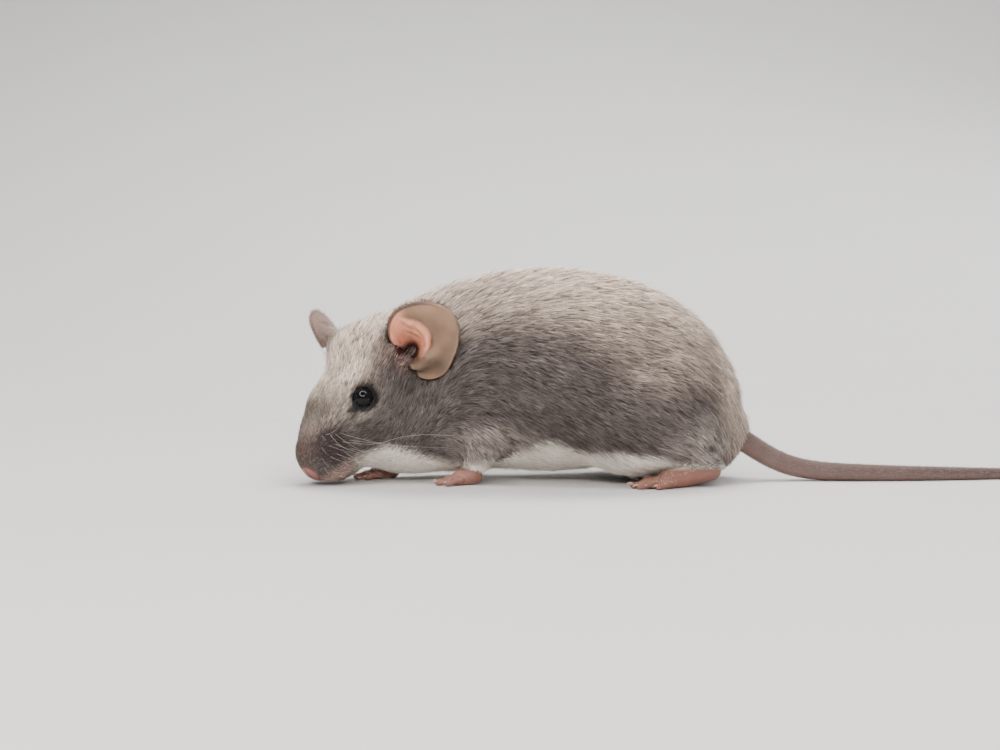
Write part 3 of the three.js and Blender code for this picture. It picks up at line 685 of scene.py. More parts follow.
def skin_colour(p, n):
    """Skin under the coat has the coat's markings, darker; bare skin is pink or dark, with painted shade in
    the nostrils and in and around the ears' canals.
    """
    q = mirrored(to_head(p))
    under_coat = coat_colour(p, n)
    under_coat = under_coat * (0.60 + 0.34 * smooth(0.55, 0.85, under_coat[:, 1:2]))
    mottled = (0.10 * noise(p, 0.8, 11) + 0.10 * noise(p, 2.2, 12))[:, None]
    nose_share = smooth(6, 9, q[:, 0])[:, None]
    bare = (PINK + (NOSE_PINK - PINK) * nose_share) * (1 + mottled)
    lids = smooth(1.0, 0.4, in_chunks(lids_field, q))[:, None]
    bare = bare + (DARK_LID - bare) * lids
    # Painted shade inside the nostrils.
    nostril_shade = smooth(0.5, 0.1, in_chunks(lambda r: round_cone(r, *NOSTRIL), q))
    bare = bare * (1 - 0.85 * nostril_shade[:, None])
    colour = under_coat + (bare - under_coat) * bareness(p)[:, None]
    canal, base = ear_shares(p)
    colour = colour + (EAR_BASE - colour) * base[:, None]
    # Painted shade in and around the ears' canals.
    return colour + (EAR_CANAL_SHADE - colour) * canal[:, None]


# ---- materials ------------------------------------------------------------


class Nodes:
    """Short ways to add and join a material's nodes."""

    def __init__(self, name):
        self.material = bpy.data.materials.new(name)
        self.material.use_nodes = True
        self.tree = self.material.node_tree
        self.shader = self.tree.nodes["Principled BSDF"]

    def add(self, kind, **settings):
        node = self.tree.nodes.new(kind)
        for key, value in settings.items():
            if key in node.inputs:
                node.inputs[key].default_value = value
            else:
                setattr(node, key, value)
        return node

    def join(self, source, target, socket):
        self.tree.links.new(source, target.inputs[socket])

    def attribute(self, name):
        return self.add("ShaderNodeAttribute", attribute_name=name)

    def place(self, scale=(1, 1, 1)):
        """The point's place in millimetres, stretched by scale."""
        coordinates = self.add("ShaderNodeTexCoord")
        mapping = self.add("ShaderNodeMapping")
        mapping.inputs["Scale"].default_value = [1000 * s for s in scale]
        self.join(coordinates.outputs["Object"], mapping, "Vector")
        return mapping.outputs["Vector"]

    def noise(self, place, scale, detail=3.0):
        node = self.add("ShaderNodeTexNoise", Scale=scale, Detail=detail)
        self.join(place, node, "Vector")
        return node.outputs["Fac"]

    def range(self, value, low, high, start=0, end=1):
        """The value from start to end turned into one from low to high, and held there."""
        node = self.add("ShaderNodeMapRange")
        node.inputs["From Min"].default_value = start
        node.inputs["From Max"].default_value = end
        node.inputs["To Min"].default_value = low
        node.inputs["To Max"].default_value = high
        self.join(value, node, "Value")
        return node.outputs["Result"]

    def math(self, operation, a, b):
        node = self.add("ShaderNodeMath", operation=operation)
        for socket, value in enumerate((a, b)):
            if isinstance(value, (int, float)):
                node.inputs[socket].default_value = value
            else:
                self.join(value, node, socket)
        return node.outputs["Value"]

    def shade(self, colour, factor):
        """The colour made lighter or darker by a factor."""
        node = self.add("ShaderNodeVectorMath", operation="SCALE")
        self.join(colour, node, "Vector")
        self.join(factor, node, "Scale")
        return node.outputs["Vector"]

    def mix(self, share, a, b):
        node = self.add("ShaderNodeMix", data_type="RGBA")
        self.join(share, node, 0)
        for socket, value in ((6, a), (7, b)):
            if isinstance(value, tuple):
                node.inputs[socket].default_value = (*value, 1)
            else:
                self.join(value, node, socket)
        return node.outputs[2]

    def bump(self, height, strength, distance):
        node = self.add("ShaderNodeBump")
        node.inputs["Strength"].default_value = strength
        node.inputs["Distance"].default_value = distance
        self.join(height, node, "Height")
        self.join(node.outputs["Normal"], self.shader, "Normal")

    def set(self, **values):
        for key, value in values.items():
            self.shader.inputs[key.replace("_", " ")].default_value = value


def coat_material(name):
    m = Nodes(name)
    colour = m.attribute("coat_colour").outputs["Color"]
    streak = m.noise(m.place(), 1.6)
    m.join(m.shade(colour, m.range(streak, 0.86, 1.14)), m.shader, "Base Color")
    m.join(m.range(m.noise(m.place(), 0.7), 0.52, 0.68), m.shader, "Roughness")
    m.set(Specular_IOR_Level=0.28, Sheen_Weight=0.12, Sheen_Roughness=0.5)
    return m.material


def skin_material():
    m = Nodes("skin")
    colour = m.attribute("skin_colour").outputs["Color"]
    bare = m.attribute("bare").outputs["Fac"]
    grain = m.noise(m.place(), 5.0, 4)
    hairs = m.noise(m.place((0.35, 1.6, 1.6)), 2.4, 4)
    m.join(m.shade(colour, m.range(grain, 0.84, 1.16)), m.shader, "Base Color")
    m.join(m.math("SUBTRACT", 0.72, m.math("MULTIPLY", bare, 0.26)), m.shader, "Roughness")
    height = m.math("ADD", m.math("MULTIPLY", grain, bare), hairs)
    m.bump(height, 0.6, 0.00012)
    m.set(Subsurface_Weight=0.12, Subsurface_Scale=0.0008, Specular_IOR_Level=0.4)
    m.shader.inputs["Subsurface Radius"].default_value = (1.0, 0.45, 0.3)
    return m.material


def ear_material():
    m = Nodes("ear_skin")
    colour = m.attribute("ear_colour").outputs["Color"]
    veins = m.noise(m.place(), 0.55, 5)
    grain = m.noise(m.place(), 6.0, 3)
    m.join(m.shade(colour, m.range(veins, 0.80, 1.20)), m.shader, "Base Color")
    m.join(m.range(grain, 0.42, 0.58), m.shader, "Roughness")
    m.bump(grain, 0.35, 0.00008)
    m.set(Subsurface_Weight=0.30, Subsurface_Scale=0.0008, Specular_IOR_Level=0.35)
    m.shader.inputs["Subsurface Radius"].default_value = (1.0, 0.4, 0.25)
    return m.material


def tail_material():
    m = Nodes("tail_skin")
    colour = m.attribute("tail_colour").outputs["Color"]
    ring = m.attribute("ring").outputs["Fac"]
    blotches = m.noise(m.place(), 0.35, 4)
    grain = m.noise(m.place(), 5.0, 3)
    tone = m.math("MULTIPLY", m.range(blotches, 0.82, 1.18), m.range(ring, 0.78, 1.12))
    m.join(m.shade(colour, tone), m.shader, "Base Color")
    m.join(m.range(grain, 0.45, 0.62), m.shader, "Roughness")
    m.bump(m.math("ADD", ring, m.math("MULTIPLY", grain, 0.4)), 0.7, 0.0001)
    m.set(Subsurface_Weight=0.15, Subsurface_Scale=0.0008, Specular_IOR_Level=0.4)
    m.shader.inputs["Subsurface Radius"].default_value = (1.0, 0.4, 0.25)
    return m.material


def eye_material():
    """Wet and black, with softer reflections in its lower half."""
    m = Nodes("eye_gloss")
    depth = m.noise(m.place(), 0.5, 2)
    m.join(m.mix(depth, (0.003, 0.003, 0.004), (0.008, 0.007, 0.008)), m.shader, "Base Color")
    split = m.add("ShaderNodeSeparateXYZ")
    m.join(m.place(), split, "Vector")
    middle = 1000 * EYE_CENTRE[2]
    roughness = m.range(split.outputs["Z"], 0.34, 0.04, middle - 0.9, middle + 0.25)
    m.join(roughness, m.shader, "Roughness")
    m.set(Specular_IOR_Level=0.20)
    return m.material


def claw_material():
    m = Nodes("claw_horn")
    grain = m.noise(m.place(), 4.0, 3)
    m.join(m.mix(grain, (0.42, 0.30, 0.25), (0.66, 0.55, 0.48)), m.shader, "Base Color")
    m.join(m.range(grain, 0.28, 0.42), m.shader, "Roughness")
    m.set(Subsurface_Weight=0.2, Subsurface_Scale=0.0004)
    return m.material


def whisker_material():
    m = Nodes("whisker")
    tone = m.noise(m.place(), 0.25, 2)
    m.join(m.mix(tone, (0.40, 0.35, 0.32), (0.62, 0.58, 0.54)), m.shader, "Base Color")
    m.join(m.range(tone, 0.35, 0.5), m.shader, "Roughness")
    m.set(Specular_IOR_Level=0.4)
    return m.material


# ---- the skin -------------------------------------------------------------

SKIN_LOW, SKIN_HIGH, SKIN_CELL = (-42, -22, -1), (45, 22, 37.5), 0.34
FINE_SPOTS = (((0.2, 6.3, -0.4), 3.6), ((11.5, 0, -6.8), 5.0), ((8.0, 2.5, -9.0), 3.5))


def wants_fine(p):
    """Where the skin's faces are split: eyes, nose, mouth and feet."""
    q = mirrored(to_head(p))
    fine = in_chunks(feet_field, p) < 0.4
    for at, reach in FINE_SPOTS:
        fine |= np.linalg.norm(q - at, axis=1) < reach
    return fine


def refined(points, quads):
    """The net with the faces of its fine places split in four, as points and triangles."""
    mesh = bpy.data.meshes.new("net")
    mesh.from_pydata(points.tolist(), [], quads.tolist())
    bm = bmesh.new()
    bm.from_mesh(mesh)
    centres = np.array([f.calc_center_median() for f in bm.faces])
    chosen = wants_fine(centres)
    edges = {e for f, wanted in zip(bm.faces, chosen) if wanted for e in f.edges}
    edges = sorted(edges, key=lambda e: e.index)
    bmesh.ops.subdivide_edges(bm, edges=edges, cuts=1, use_grid_fill=True)
    bmesh.ops.triangulate(bm, faces=bm.faces[:])
    out = np.array([v.co for v in bm.verts])
    triangles = np.array([[v.index for v in f.verts] for f in bm.faces])
    bm.free()
    bpy.data.meshes.remove(mesh)
    return out, triangles


def make_skin(material):
    points, quads = surface_net(skin_field, SKIN_LOW, SKIN_HIGH, SKIN_CELL)
    points, triangles = refined(points, quads)
    points = settled(skin_field, points)
    normals = unit(gradient(skin_field, points))
    flesh = ["head", "neck", "trunk", "foreleg_left", "foreleg_right", "hindleg_left", "hindleg_right"]
    flesh += ["forefoot_left", "forefoot_right", "hindfoot_left", "hindfoot_right"]
    skin = mesh_object("skin", points, triangles, material, flesh, "fur")
    paint(skin, "skin_colour", skin_colour(points, normals))
    measure(skin, "bare", bareness(points))
    return points, triangles, normals


# ---- ears -----------------------------------------------------------------


def ear_sheet(angle, outward):
    """Points of the ear's cup, which leans towards its canal."""
    radius = EAR_CANAL + (rim_radius(angle) - EAR_CANAL) * outward
    a = np.radians(angle)
    lean = (1 - outward) ** 2
    x, y = radius * np.cos(a) + EAR_LEAN[0] * lean, radius * np.sin(a) + EAR_LEAN[1] * lean
    return np.stack((x, y, ear_height(angle, outward)), -1)


def ear_frame(angle, outward):
    """Place, normal and outward way on an ear's sheet, in the ear's frame."""
    here = ear_sheet(angle, outward)
    round_way = ear_sheet(angle + 0.5, outward) - ear_sheet(angle - 0.5, outward)
    out_way = here - ear_sheet(angle, outward - 0.01)
    return here, unit(np.cross(out_way, round_way)), unit(out_way)


def ear_half_thickness(angle, outward):
    """Half the sheet's thickness, rounded off at the rim and at both ends."""
    half = 0.26 + 0.06 * (1 - outward)
    half = half * np.sqrt(np.clip((1.0 - outward) / 0.04, 0.04, 1))
    edge = np.clip(np.minimum(angle - EAR_START, EAR_LAST - angle) / 4, 0.1, 1)
    return half * np.sqrt(edge)


def grid_faces(number):
    """The quads of a grid of numbered points."""
    ring = (number[:-1, :-1], number[1:, :-1], number[1:, 1:], number[:-1, 1:])
    return np.stack(ring, -1).reshape(-1, 4)


def shell_faces(rows, columns):
    """Two grids of points back to back, with a band round their edge."""
    size = rows * columns
    number = np.arange(size).reshape(rows, columns)
    inner = grid_faces(number)
    loop = np.concatenate((number[0, :-1], number[:-1, -1], number[-1, :0:-1], number[:0:-1, 0]))
    after = np.roll(loop, -1)
    band = np.stack((loop, after, after + size, loop + size), 1)
    return np.concatenate((inner, inner[:, ::-1] + size, band))


def make_ear(side, material):
    """A thin closed shell: the inner face, a rounded rim and the outer face."""
    angles = np.linspace(EAR_START, EAR_LAST, 150)
    outs = np.concatenate((np.linspace(0.02, 0.9, 46), np.linspace(0.915, 1.0, 9)))
    angle, outward = np.meshgrid(angles, outs, indexing="ij")
    sheet, normal, _ = ear_frame(angle, outward)
    rows, at = ear_axes(side)
    sheet = sheet @ rows + at
    step = normal @ rows * ear_half_thickness(angle, outward)[..., None]
    points = np.concatenate(((sheet + step).reshape(-1, 3), (sheet - step).reshape(-1, 3)))
    faces = shell_faces(*angle.shape)
    if side == "right":
        faces = faces[:, ::-1]
    ear = mesh_object("earshell_" + side, points, faces, material, ["ear_" + side], "ear_skin")
    paint(ear, "ear_colour", ear_colour(angle, outward))


def ear_tone(angle, outward, fold, plate):
    """How light each place inside the ear is, beside its own colour: painted shade beside the fold and on the
    lower lobe, lighter towards the top of the rim.
    """
    lines = np.sin(outward * 52 + 0.05 * angle) * smooth(0.05, 0.2, outward) * (1 - plate)
    # Painted shade in the valley just outside the fold.
    edge = np.exp(-((outward - fold - 0.055) / 0.028) ** 2)
    edge = edge * smooth(-10, 20, angle) * smooth(125, 95, angle)
    # Painted shade in the middle of the lower lobe.
    lobe_shade = np.exp(-((outward - 0.70) / 0.24) ** 2 - ((angle + 18) / 26) ** 2)
    crown = np.exp(-((angle - 82) / 34) ** 2) * smooth(0.6, 0.85, outward)
    # Painted shade over the whole lower lobe too.
    lobe = smooth(5, -25, angle) * smooth(0.9, 0.4, outward)
    patches = noise(np.stack((angle / 9, outward * 9, 0 * angle), 1), 1.6, 31)
    return 1 + 0.035 * lines - 0.34 * edge - 0.50 * lobe_shade - 0.28 * lobe + 0.62 * crown + 0.13 * patches


def ear_colour(angle, outward):
    """Peach in the fold, red by the canal, tan on the rear plate, with a dark front rim and painted shade
    down into the canal.
    """
    angle, outward = angle.ravel(), outward.ravel()
    fold = fold_at(angle)
    reach = EAR_CANAL + (rim_radius(angle) - EAR_CANAL) * outward
    plate = smooth(fold - 0.02, fold + 0.10, outward) * smooth(135, 105, angle)
    plate = np.maximum(plate, smooth(28, -4, angle))
    inner = EAR_PEACH + (EAR_TAN - EAR_PEACH) * plate[:, None]
    near = (smooth(4.6, 2.2, reach) * smooth(-15, 25, angle))[:, None]
    inner = inner + (EAR_RED - inner) * near * 0.38
    inner = inner * ear_tone(angle, outward, fold, plate)[:, None]
    shadow = smooth(2.4, 1.5, reach + 0.25 * smooth(60, 120, angle))[:, None]
    inner = inner + (EAR_CANAL_SHADE - inner) * shadow
    dark = smooth(0.905, 0.945, outward) * smooth(50, 100, angle)
    pale = smooth(0.93, 0.975, outward) * smooth(45, 15, angle)
    inner = inner + (EAR_EDGE - inner) * (0.9 * dark)[:, None]
    inner = inner * (1 + 0.30 * pale)[:, None]
    outer = EAR_BACK + (EAR_EDGE - EAR_BACK) * (0.8 * dark)[:, None]
    return np.concatenate((inner, outer))


# ---- tail, eyes, claws and whiskers ---------------------------------------


def tail_radius(distance):
    return TAIL_ROOT_RADIUS + (TAIL_TIP_RADIUS - TAIL_ROOT_RADIUS) * distance / TAIL_LENGTH


def tail_point(distance):
    lift = TAIL_RISE * np.exp(-0.75 * (distance / 8.5) ** 2)
    return np.stack((
        TAIL_ROOT_X + distance * 0.985 + 2 * np.exp(-distance / 8),
        -TAIL_SWAY * np.sin(distance / TAIL_LENGTH * np.pi * 1.5),
        tail_radius(distance) - TAIL_SINK + lift), -1)


def tail_frames(distance):
    centre = tail_point(distance)
    ahead = unit(tail_point(distance + 0.05) - tail_point(distance - 0.05))
    sideways = unit(np.cross((0, 0, 1), ahead))
    return centre, ahead, sideways, np.cross(ahead, sideways)


def tube(centres, sideways, upward, radii, sides):
    """Points and faces of a closed tube, with a radius for each ring and a point at each end."""
    turn = np.arange(sides) * 2 * np.pi / sides
    ring = np.cos(turn)[None, :, None] * sideways[:, None] + np.sin(turn)[None, :, None] * upward[:, None]
    points = (centres[:, None] + ring * radii[:, None, None]).reshape(-1, 3)
    number = np.arange(len(points)).reshape(-1, sides)
    after = np.roll(number, -1, axis=1)
    side = np.stack((number[:-1], after[:-1], after[1:], number[1:]), -1).reshape(-1, 4)
    halves = np.concatenate((side[:, [0, 1, 2]], side[:, [0, 2, 3]]))
    first, last = len(points), len(points) + 1
    start = np.stack((np.full(sides, first), after[0], number[0]), 1)
    end = np.stack((np.full(sides, last), number[-1], after[-1]), 1)
    points = np.concatenate((points, centres[:1], centres[-1:]))
    return points, np.concatenate((halves, start, end))


def make_tail(material):
    """A tapering tube with rings of scales and a rounded tip."""
    tip = TAIL_LENGTH - 1.0 * (1 - np.sin(np.linspace(0.1, 1.5, 8)))
    distance = np.concatenate((np.linspace(-3.4, 81, 1000), tip))
    centre, _, sideways, upward = tail_frames(distance)
    pitch = 0.36 - 0.12 * distance / TAIL_LENGTH
    scale = 1 - np.cumsum(np.gradient(distance) / pitch) % 1
    left = np.clip((TAIL_LENGTH - distance) / 1.2, 0, 1)
    rounding = 0.3 + 0.7 * np.sqrt(left * (2 - left))
    radius = tail_radius(distance) * rounding * (1 - 0.022 * scale)
    points, faces = tube(centre, sideways, upward, radius, TAIL_SIDES)
    points[:, 2] = np.maximum(points[:, 2], FLOOR_CLEARANCE)
    tail = mesh_object("tail", points, faces, material, ["tail_base", "tail_middle", "tail_end"], "tail_skin")
    paint(tail, "tail_colour", tail_colour(distance))
    measure(tail, "ring", np.append(np.repeat(scale, TAIL_SIDES), (0, 0)))


def tail_colour(distance):
    """Paler below and darker towards the tip, with the tube's two end points last."""
    turn = np.arange(TAIL_SIDES) * 2 * np.pi / TAIL_SIDES
    up = np.append(np.tile(np.sin(turn), len(distance)), (0, 0))
    along = np.append(np.repeat(distance / TAIL_LENGTH, TAIL_SIDES), (0, 1))
    colour = TAIL_UNDER + (TAIL_TOP - TAIL_UNDER) * smooth(-0.7, 0.5, up)[:, None]
    return colour * (1.12 - 0.25 * smooth(0, 0.9, along))[:, None]


def in_fixed_order(triangles):
    """The triangles sorted by their corners, as Blender lists a ball's in another order each run."""
    return triangles[np.lexsort(triangles.T)]


def make_eye(side, material):
    """A round ball with the clear front a little raised."""
    bm = bmesh.new()
    bmesh.ops.create_uvsphere(bm, u_segments=64, v_segments=40, radius=1)
    points = np.array([v.co for v in bm.verts])
    bmesh.ops.triangulate(bm, faces=bm.faces[:])
    faces = in_fixed_order(np.array([[v.index for v in f.verts] for f in bm.faces]))
    bm.free()
    flip = np.array((1, 1 if side == "left" else -1, 1))
    out = unit(EYE_OUT * flip)
    front = np.clip(points @ out, 0, 1)
    points = points * (EYE_RADIUS * (1 + 0.03 * smooth(0.6, 1, front)))[:, None]
    points = from_head(points + EYE_AT * flip)
    mesh_object("eyeball_" + side, points, faces, material, ["eye_" + side], "eye")


def claw(waist, end, size):
    """One claw, a bent cone that starts in its toe and clears the floor."""
    ahead = unit((end - waist) * (1, 1, 0))
    t = np.linspace(0, 1, 9)[:, None]
    rise = 0.20 * np.sin(t * np.pi) - 0.16 * t * t
    centres = end + (0, 0, 0.18) + ahead * (0.1 + t * size) + np.array((0, 0, 1)) * rise * size
    radii = 0.19 * (1 - t[:, 0]) ** 0.8 + 0.012
    centres[:, 2] = np.maximum.reduce((centres[:, 2], np.full(9, 0.08), radii + FLOOR_CLEARANCE))
    sideways = np.tile(unit(np.cross((0, 0, 1), ahead)), (9, 1))
    return tube(centres, sideways, np.tile((0, 0, 1.0), (9, 1)), radii, 7)


def make_claws(material):
    claws = []
    for name, foot in FEET.items():
        size = 0.85 if name.startswith("fore") else 1.15
        for toe in foot[4]:
            _, _, waist, end = toe_joints(foot, toe)
            claws.append(claw(waist, end, size))
    mesh_object("claws", *joined(claws), material, None, "foot_skin")


# ---- coat -----------------------------------------------------------------

EAR_FLUFF = np.array((-5.4, 7.0, 3.9))
EAR_FRONT_FLUFF = np.array((-8.3, 6.6, 4.4))
MOST_TUFTS = 31000
# Two kinds of ear hair: how many, lean off the sheet, length, width and tone.
EAR_HAIRS = {"back": (6000, 0.12, 1.3, 0.06, 0.62), "rim": (1100, 0.3, 0.6, 0.035, 0.9)}

# The lie of the coat: place, direction and reach of each influence, for both sides.
LIE = [
    ((30, 0, 34), (1, 0, -0.5), 14), ((8, 0, 37), (1, 0, 0), 14), ((-10, 0, 31), (1, 0, 0.45), 9),
    ((8, 16, 20), (1, 0, -0.32), 11), ((8, 14, 8), (1, 0, -0.42), 8), ((0, 0, 1), (1, 0, 0), 9),
    ((18, 0, 1), (1, 0, 0), 9), ((26, 17, 16), (1, 0, -0.5), 9), ((28, 16, 7), (1, 0, -0.55), 7),
    ((40, 6, 18), (0.35, 0, -1), 8), ((40, 0, 12), (0.5, 0, -1), 6), ((33, 12, 3), (0.4, 0, -1), 4),
    ((-10, 12, 17), (1, 0, -0.40), 8), ((-9, 11, 8), (0.75, 0, -0.7), 6), ((-4, 9, 4), (-0.1, 0, -1), 4),
]
LIE_HEAD = [
    ((6, 0, 1), (-1, 0, 0.35), 6), ((-4, 0, 6), (-1, 0, 0.15), 8), ((-12, 5, 6), (-1, 0, 0), 7),
    ((-2, 8, -4), (-1, 0, 0.55), 6), ((-8, 9, -5), (-1, 0, 0.75), 7), ((5, 6, -5), (-1, 0.25, -0.2), 4),
    ((8, 5, -3.4), (-1, 0.3, -0.1), 2.5), ((9.5, 4, -6.5), (-0.7, 0.4, -1.1), 3),
    ((5, 0, -11), (-1, 0, 0.2), 6), ((-4, 3, -11), (-1, 0, 0.4), 6),
    ((0.2, 6, 3.0), (-0.9, 0, 0.7), 2.4), ((0.6, 6.2, -3.2), (-0.9, 0, -0.25), 2.2),
]


def lie_of_coat(p, n):
    """The direction in which the coat lies at each point, along the skin."""
    total = np.zeros_like(p)
    both = mirrored(p)
    for at, way, reach in LIE:
        weight = np.exp(-((both - at) ** 2).sum(1) / reach ** 2) + 1e-12
        total += weight[:, None] * unit(way)
    q = to_head(p)
    side = np.where(q[:, 1] < 0, -1.0, 1.0)
    folded = mirrored(q)
    for at, way, reach in LIE_HEAD:
        weight = 2.5 * np.exp(-((folded - at) ** 2).sum(1) / reach ** 2)
        way = unit(way) * np.stack((np.ones_like(side), side, np.ones_like(side)), 1)
        total += weight[:, None] * (way @ HEAD_AXES)
    total -= n * (total * n).sum(1, keepdims=True)
    return unit(total)


def scattered(points, triangles, density, rng):
    """Random places on the mesh, by area and density: their triangles and corner weights."""
    a, b, c = (points[triangles[:, i]] for i in range(3))
    area = np.linalg.norm(np.cross(b - a, c - a), axis=1) / 2
    wanted = area * density
    total = np.cumsum(wanted)
    count = int(total[-1])
    at = (np.arange(count) + rng.random(count)) * total[-1] / count
    face = np.minimum(np.searchsorted(total, at), len(triangles) - 1)
    u, v = rng.random(count), rng.random(count)
    over = u + v > 1
    u, v = np.where(over, 1 - u, u), np.where(over, 1 - v, v)
    weights = np.stack((1 - u - v, u, v), 1)
    return face, weights


def coat_plan(p):
    """Density per square millimetre, and length, width and lift in millimetres."""
    q = mirrored(to_head(p))
    steps = (-20, -13, -7, -1, 4, 8, 11)
    density = np.interp(q[:, 0], steps, (25, 28, 36, 52, 66, 74, 90))
    length = np.interp(q[:, 0], steps, (4.0, 3.5, 2.7, 2.1, 1.75, 1.45, 0.9))
    width = np.interp(q[:, 0], steps, (0.24, 0.21, 0.17, 0.135, 0.115, 0.110, 0.085))
    low = smooth(2.0, 7.0, p[:, 2])
    to_foot = in_chunks(feet_field, p)
    near_foot = smooth(3.6, 0.6, to_foot)
    on_foot = smooth(0.6, 0.1, to_foot) * smooth(3.6, 2.7, p[:, 2])
    length = length * (1 - 0.74 * near_foot) * (0.8 + 0.2 * low) * (1 - 0.6 * on_foot)
    width = width * (1 - 0.5 * near_foot) * (1 - 0.5 * on_foot)
    density = density * (1 + 0.5 * near_foot)
    fluff = np.exp(-((q - EAR_FLUFF) ** 2).sum(1) / 2.4 ** 2)
    fluff = np.maximum(fluff, 0.8 * np.exp(-((q - EAR_FRONT_FLUFF) ** 2).sum(1) / 1.5 ** 2))
    lift = coat_depth(p.astype(np.float32), q) * 0.95 + 0.05 + 1.5 * fluff
    return density, length, width, lift


def unwrapped(p, start, end, radius):
    """Where each point falls on an unwrap of the skin round the line from start to end."""
    line = end - start
    span = np.linalg.norm(line)
    axis = line / span
    along = (p - start) @ axis
    held = np.clip(along, 0, span)
    offset = p - start - held[:, None] * axis
    beyond = along - held
    across = offset - beyond[:, None] * axis
    capped = np.arctan2(beyond, np.maximum(np.linalg.norm(across, axis=1), 1e-6)) * radius
    side = unit(np.cross(axis, (0, 0, 1)))
    up = np.cross(side, axis)
    turn = np.arctan2(across @ side, across @ up) * radius
    return np.stack((held + capped, turn), 1)


def laid_on_skin(root, n, way, length, lift, pull, share):
    """The middle and tip of each tuft, held at their heights over the skin."""
    tip = root + way * length[:, None] + pull
    tip = tip + n * (lift - in_chunks(skin_field, tip))[:, None]
    middle = root + (tip - root) * share[:, None]
    short = 0.62 * lift - in_chunks(skin_field, middle)
    return middle + n * np.maximum(short, 0)[:, None], tip


def tuft_mesh(name, root, n, middle, tip, width, colours, uv, material, slot="fur"):
    """Closed spindles, six triangles each: a root, three points round the middle, and a tip."""
    way = unit(tip - root)
    side = unit(np.cross(n, way))
    half = side * (width / 2)[:, None]
    ridge = n * (width * 0.35)[:, None]
    points = np.stack((root - n * 0.12, middle + half, middle - half, middle + ridge, tip), 1)
    points[..., 2] = np.maximum(points[..., 2], FLOOR_CLEARANCE)
    shape = np.array(((0, 3, 1), (0, 2, 3), (4, 1, 3), (4, 3, 2), (0, 1, 2), (4, 2, 1)))
    faces = (shape[None] + 5 * np.arange(len(root))[:, None, None]).reshape(-1, 3)
    thing = mesh_object(name, points.reshape(-1, 3), faces, material, None, slot)
    paint(thing, "coat_colour", colours.reshape(-1, 3))
    soft = np.stack((n, unit(n + 0.7 * side), unit(n - 0.7 * side), n, unit(n + 0.3 * way)), 1)
    normals = thing.data.attributes.new("custom_normal", "FLOAT_VECTOR", "POINT")
    normals.data.foreach_set("vector", soft.astype(np.float32).ravel())
    corner = np.array(((0, -1.5), (-1.2, 0), (1.2, 0), (0, 0.1), (0, 1.5))) * 0.001
    layer = thing.data.uv_layers.new(name="OFBake")
    place = uv[:, None, None, :] + corner[shape][None]
    layer.data.foreach_set("uv", place.astype(np.float32).ravel())
    return thing


def streaks(q):
    """More contrast from hair to hair on the whisker pads and down the snout."""
    pad = smooth(1.6, 0.8, np.linalg.norm((mirrored(q) - (9.2, 4.0, -3.2)) / (3.4, 3.2, 3.4), axis=1))
    return 1 + 1.6 * pad


def tuft_colours(base, rng, tone, contrast):
    """Each tuft's five colours, dark at the root and light at the tip, less so where it is white."""
    dark_root = np.array((0.28, 0.76, 0.76, 0.92, 1.22))
    pale_root = np.array((0.95, 1.03, 1.03, 1.06, 1.08))
    whiteness = smooth(0.52, 0.82, base[:, 1])[:, None]
    share = dark_root + (pale_root - dark_root) * whiteness
    hair = tone * (1 + 0.18 * contrast * rng.standard_normal(len(base)))
    kind = rng.random(len(base))
    hair = hair * np.where(kind < 0.17, 0.40, np.where(kind > 0.83, 1.46, 1.0))
    hair = 1 + (np.clip(hair, 0.25, 2.6) - 1) * (1 - 0.62 * whiteness[:, 0])
    return base[:, None, :] * (share * hair[:, None])[..., None]


def before_canal(root, near=1.6, far=4.8):
    """Which roots lie on the skin in front of an ear's canal."""
    found = np.zeros(len(root), bool)
    for side in EARS:
        rows, at = ear_axes(side)
        x, y, z = ((root - at) @ rows.T).T
        angle = np.degrees(np.arctan2(y, x)) % 360
        reach = np.hypot(x, y)
        found |= (angle > 172) & (angle < 300) & (reach > near) & (reach < far) & (np.abs(z) < 4)
    return found


def kept_off_ears(root, middle, tip, chosen):
    """The chosen tufts made shorter where their tips would lie inside an ear's cup."""
    for _ in range(3):
        inside = chosen & (ear_distance(tip) < 0)
        middle[inside] = root[inside] + (middle[inside] - root[inside]) * 0.6
        tip[inside] = root[inside] + (tip[inside] - root[inside]) * 0.6
    return middle, tip


def coat_density(points, triangles, normals):
    """The coat's density on each triangle, thin on the feet's tops and none on other bare skin."""
    centres = points[triangles].mean(1)
    on_top = smooth(0.1, 0.6, normals[triangles].mean(1)[:, 2]) * (centres[:, 2] < 4)
    open_ear = smooth(0.0, 0.2, ear_distance(centres)) * (1 - 0.5 * before_canal(centres))
    open_ear = open_ear * (1 - before_canal(centres, 0, 3.1))
    return coat_plan(centres)[0] * (1 - bareness(centres) * (1 - 0.07 * on_top)) * open_ear


def clumps(root, n, length):
    """Each tuft's pull towards the middle of its clump, and two random numbers for the clump."""
    cell = np.clip(length * 0.30, 0.35, 1.0)
    seed, tone, bend = np.zeros_like(root), np.zeros(len(root)), np.zeros(len(root))
    for low, high in ((0, 0.45), (0.45, 0.7), (0.7, 2)):
        part = (cell >= low) & (cell < high)
        size = cell[part].mean() if part.any() else 1
        seed[part], tone[part], bend[part] = nearest_seed(root[part], size, int(low * 100))
    pull = seed - root
    pull -= n * (pull * n).sum(1, keepdims=True)
    return pull * 0.74, tone, bend


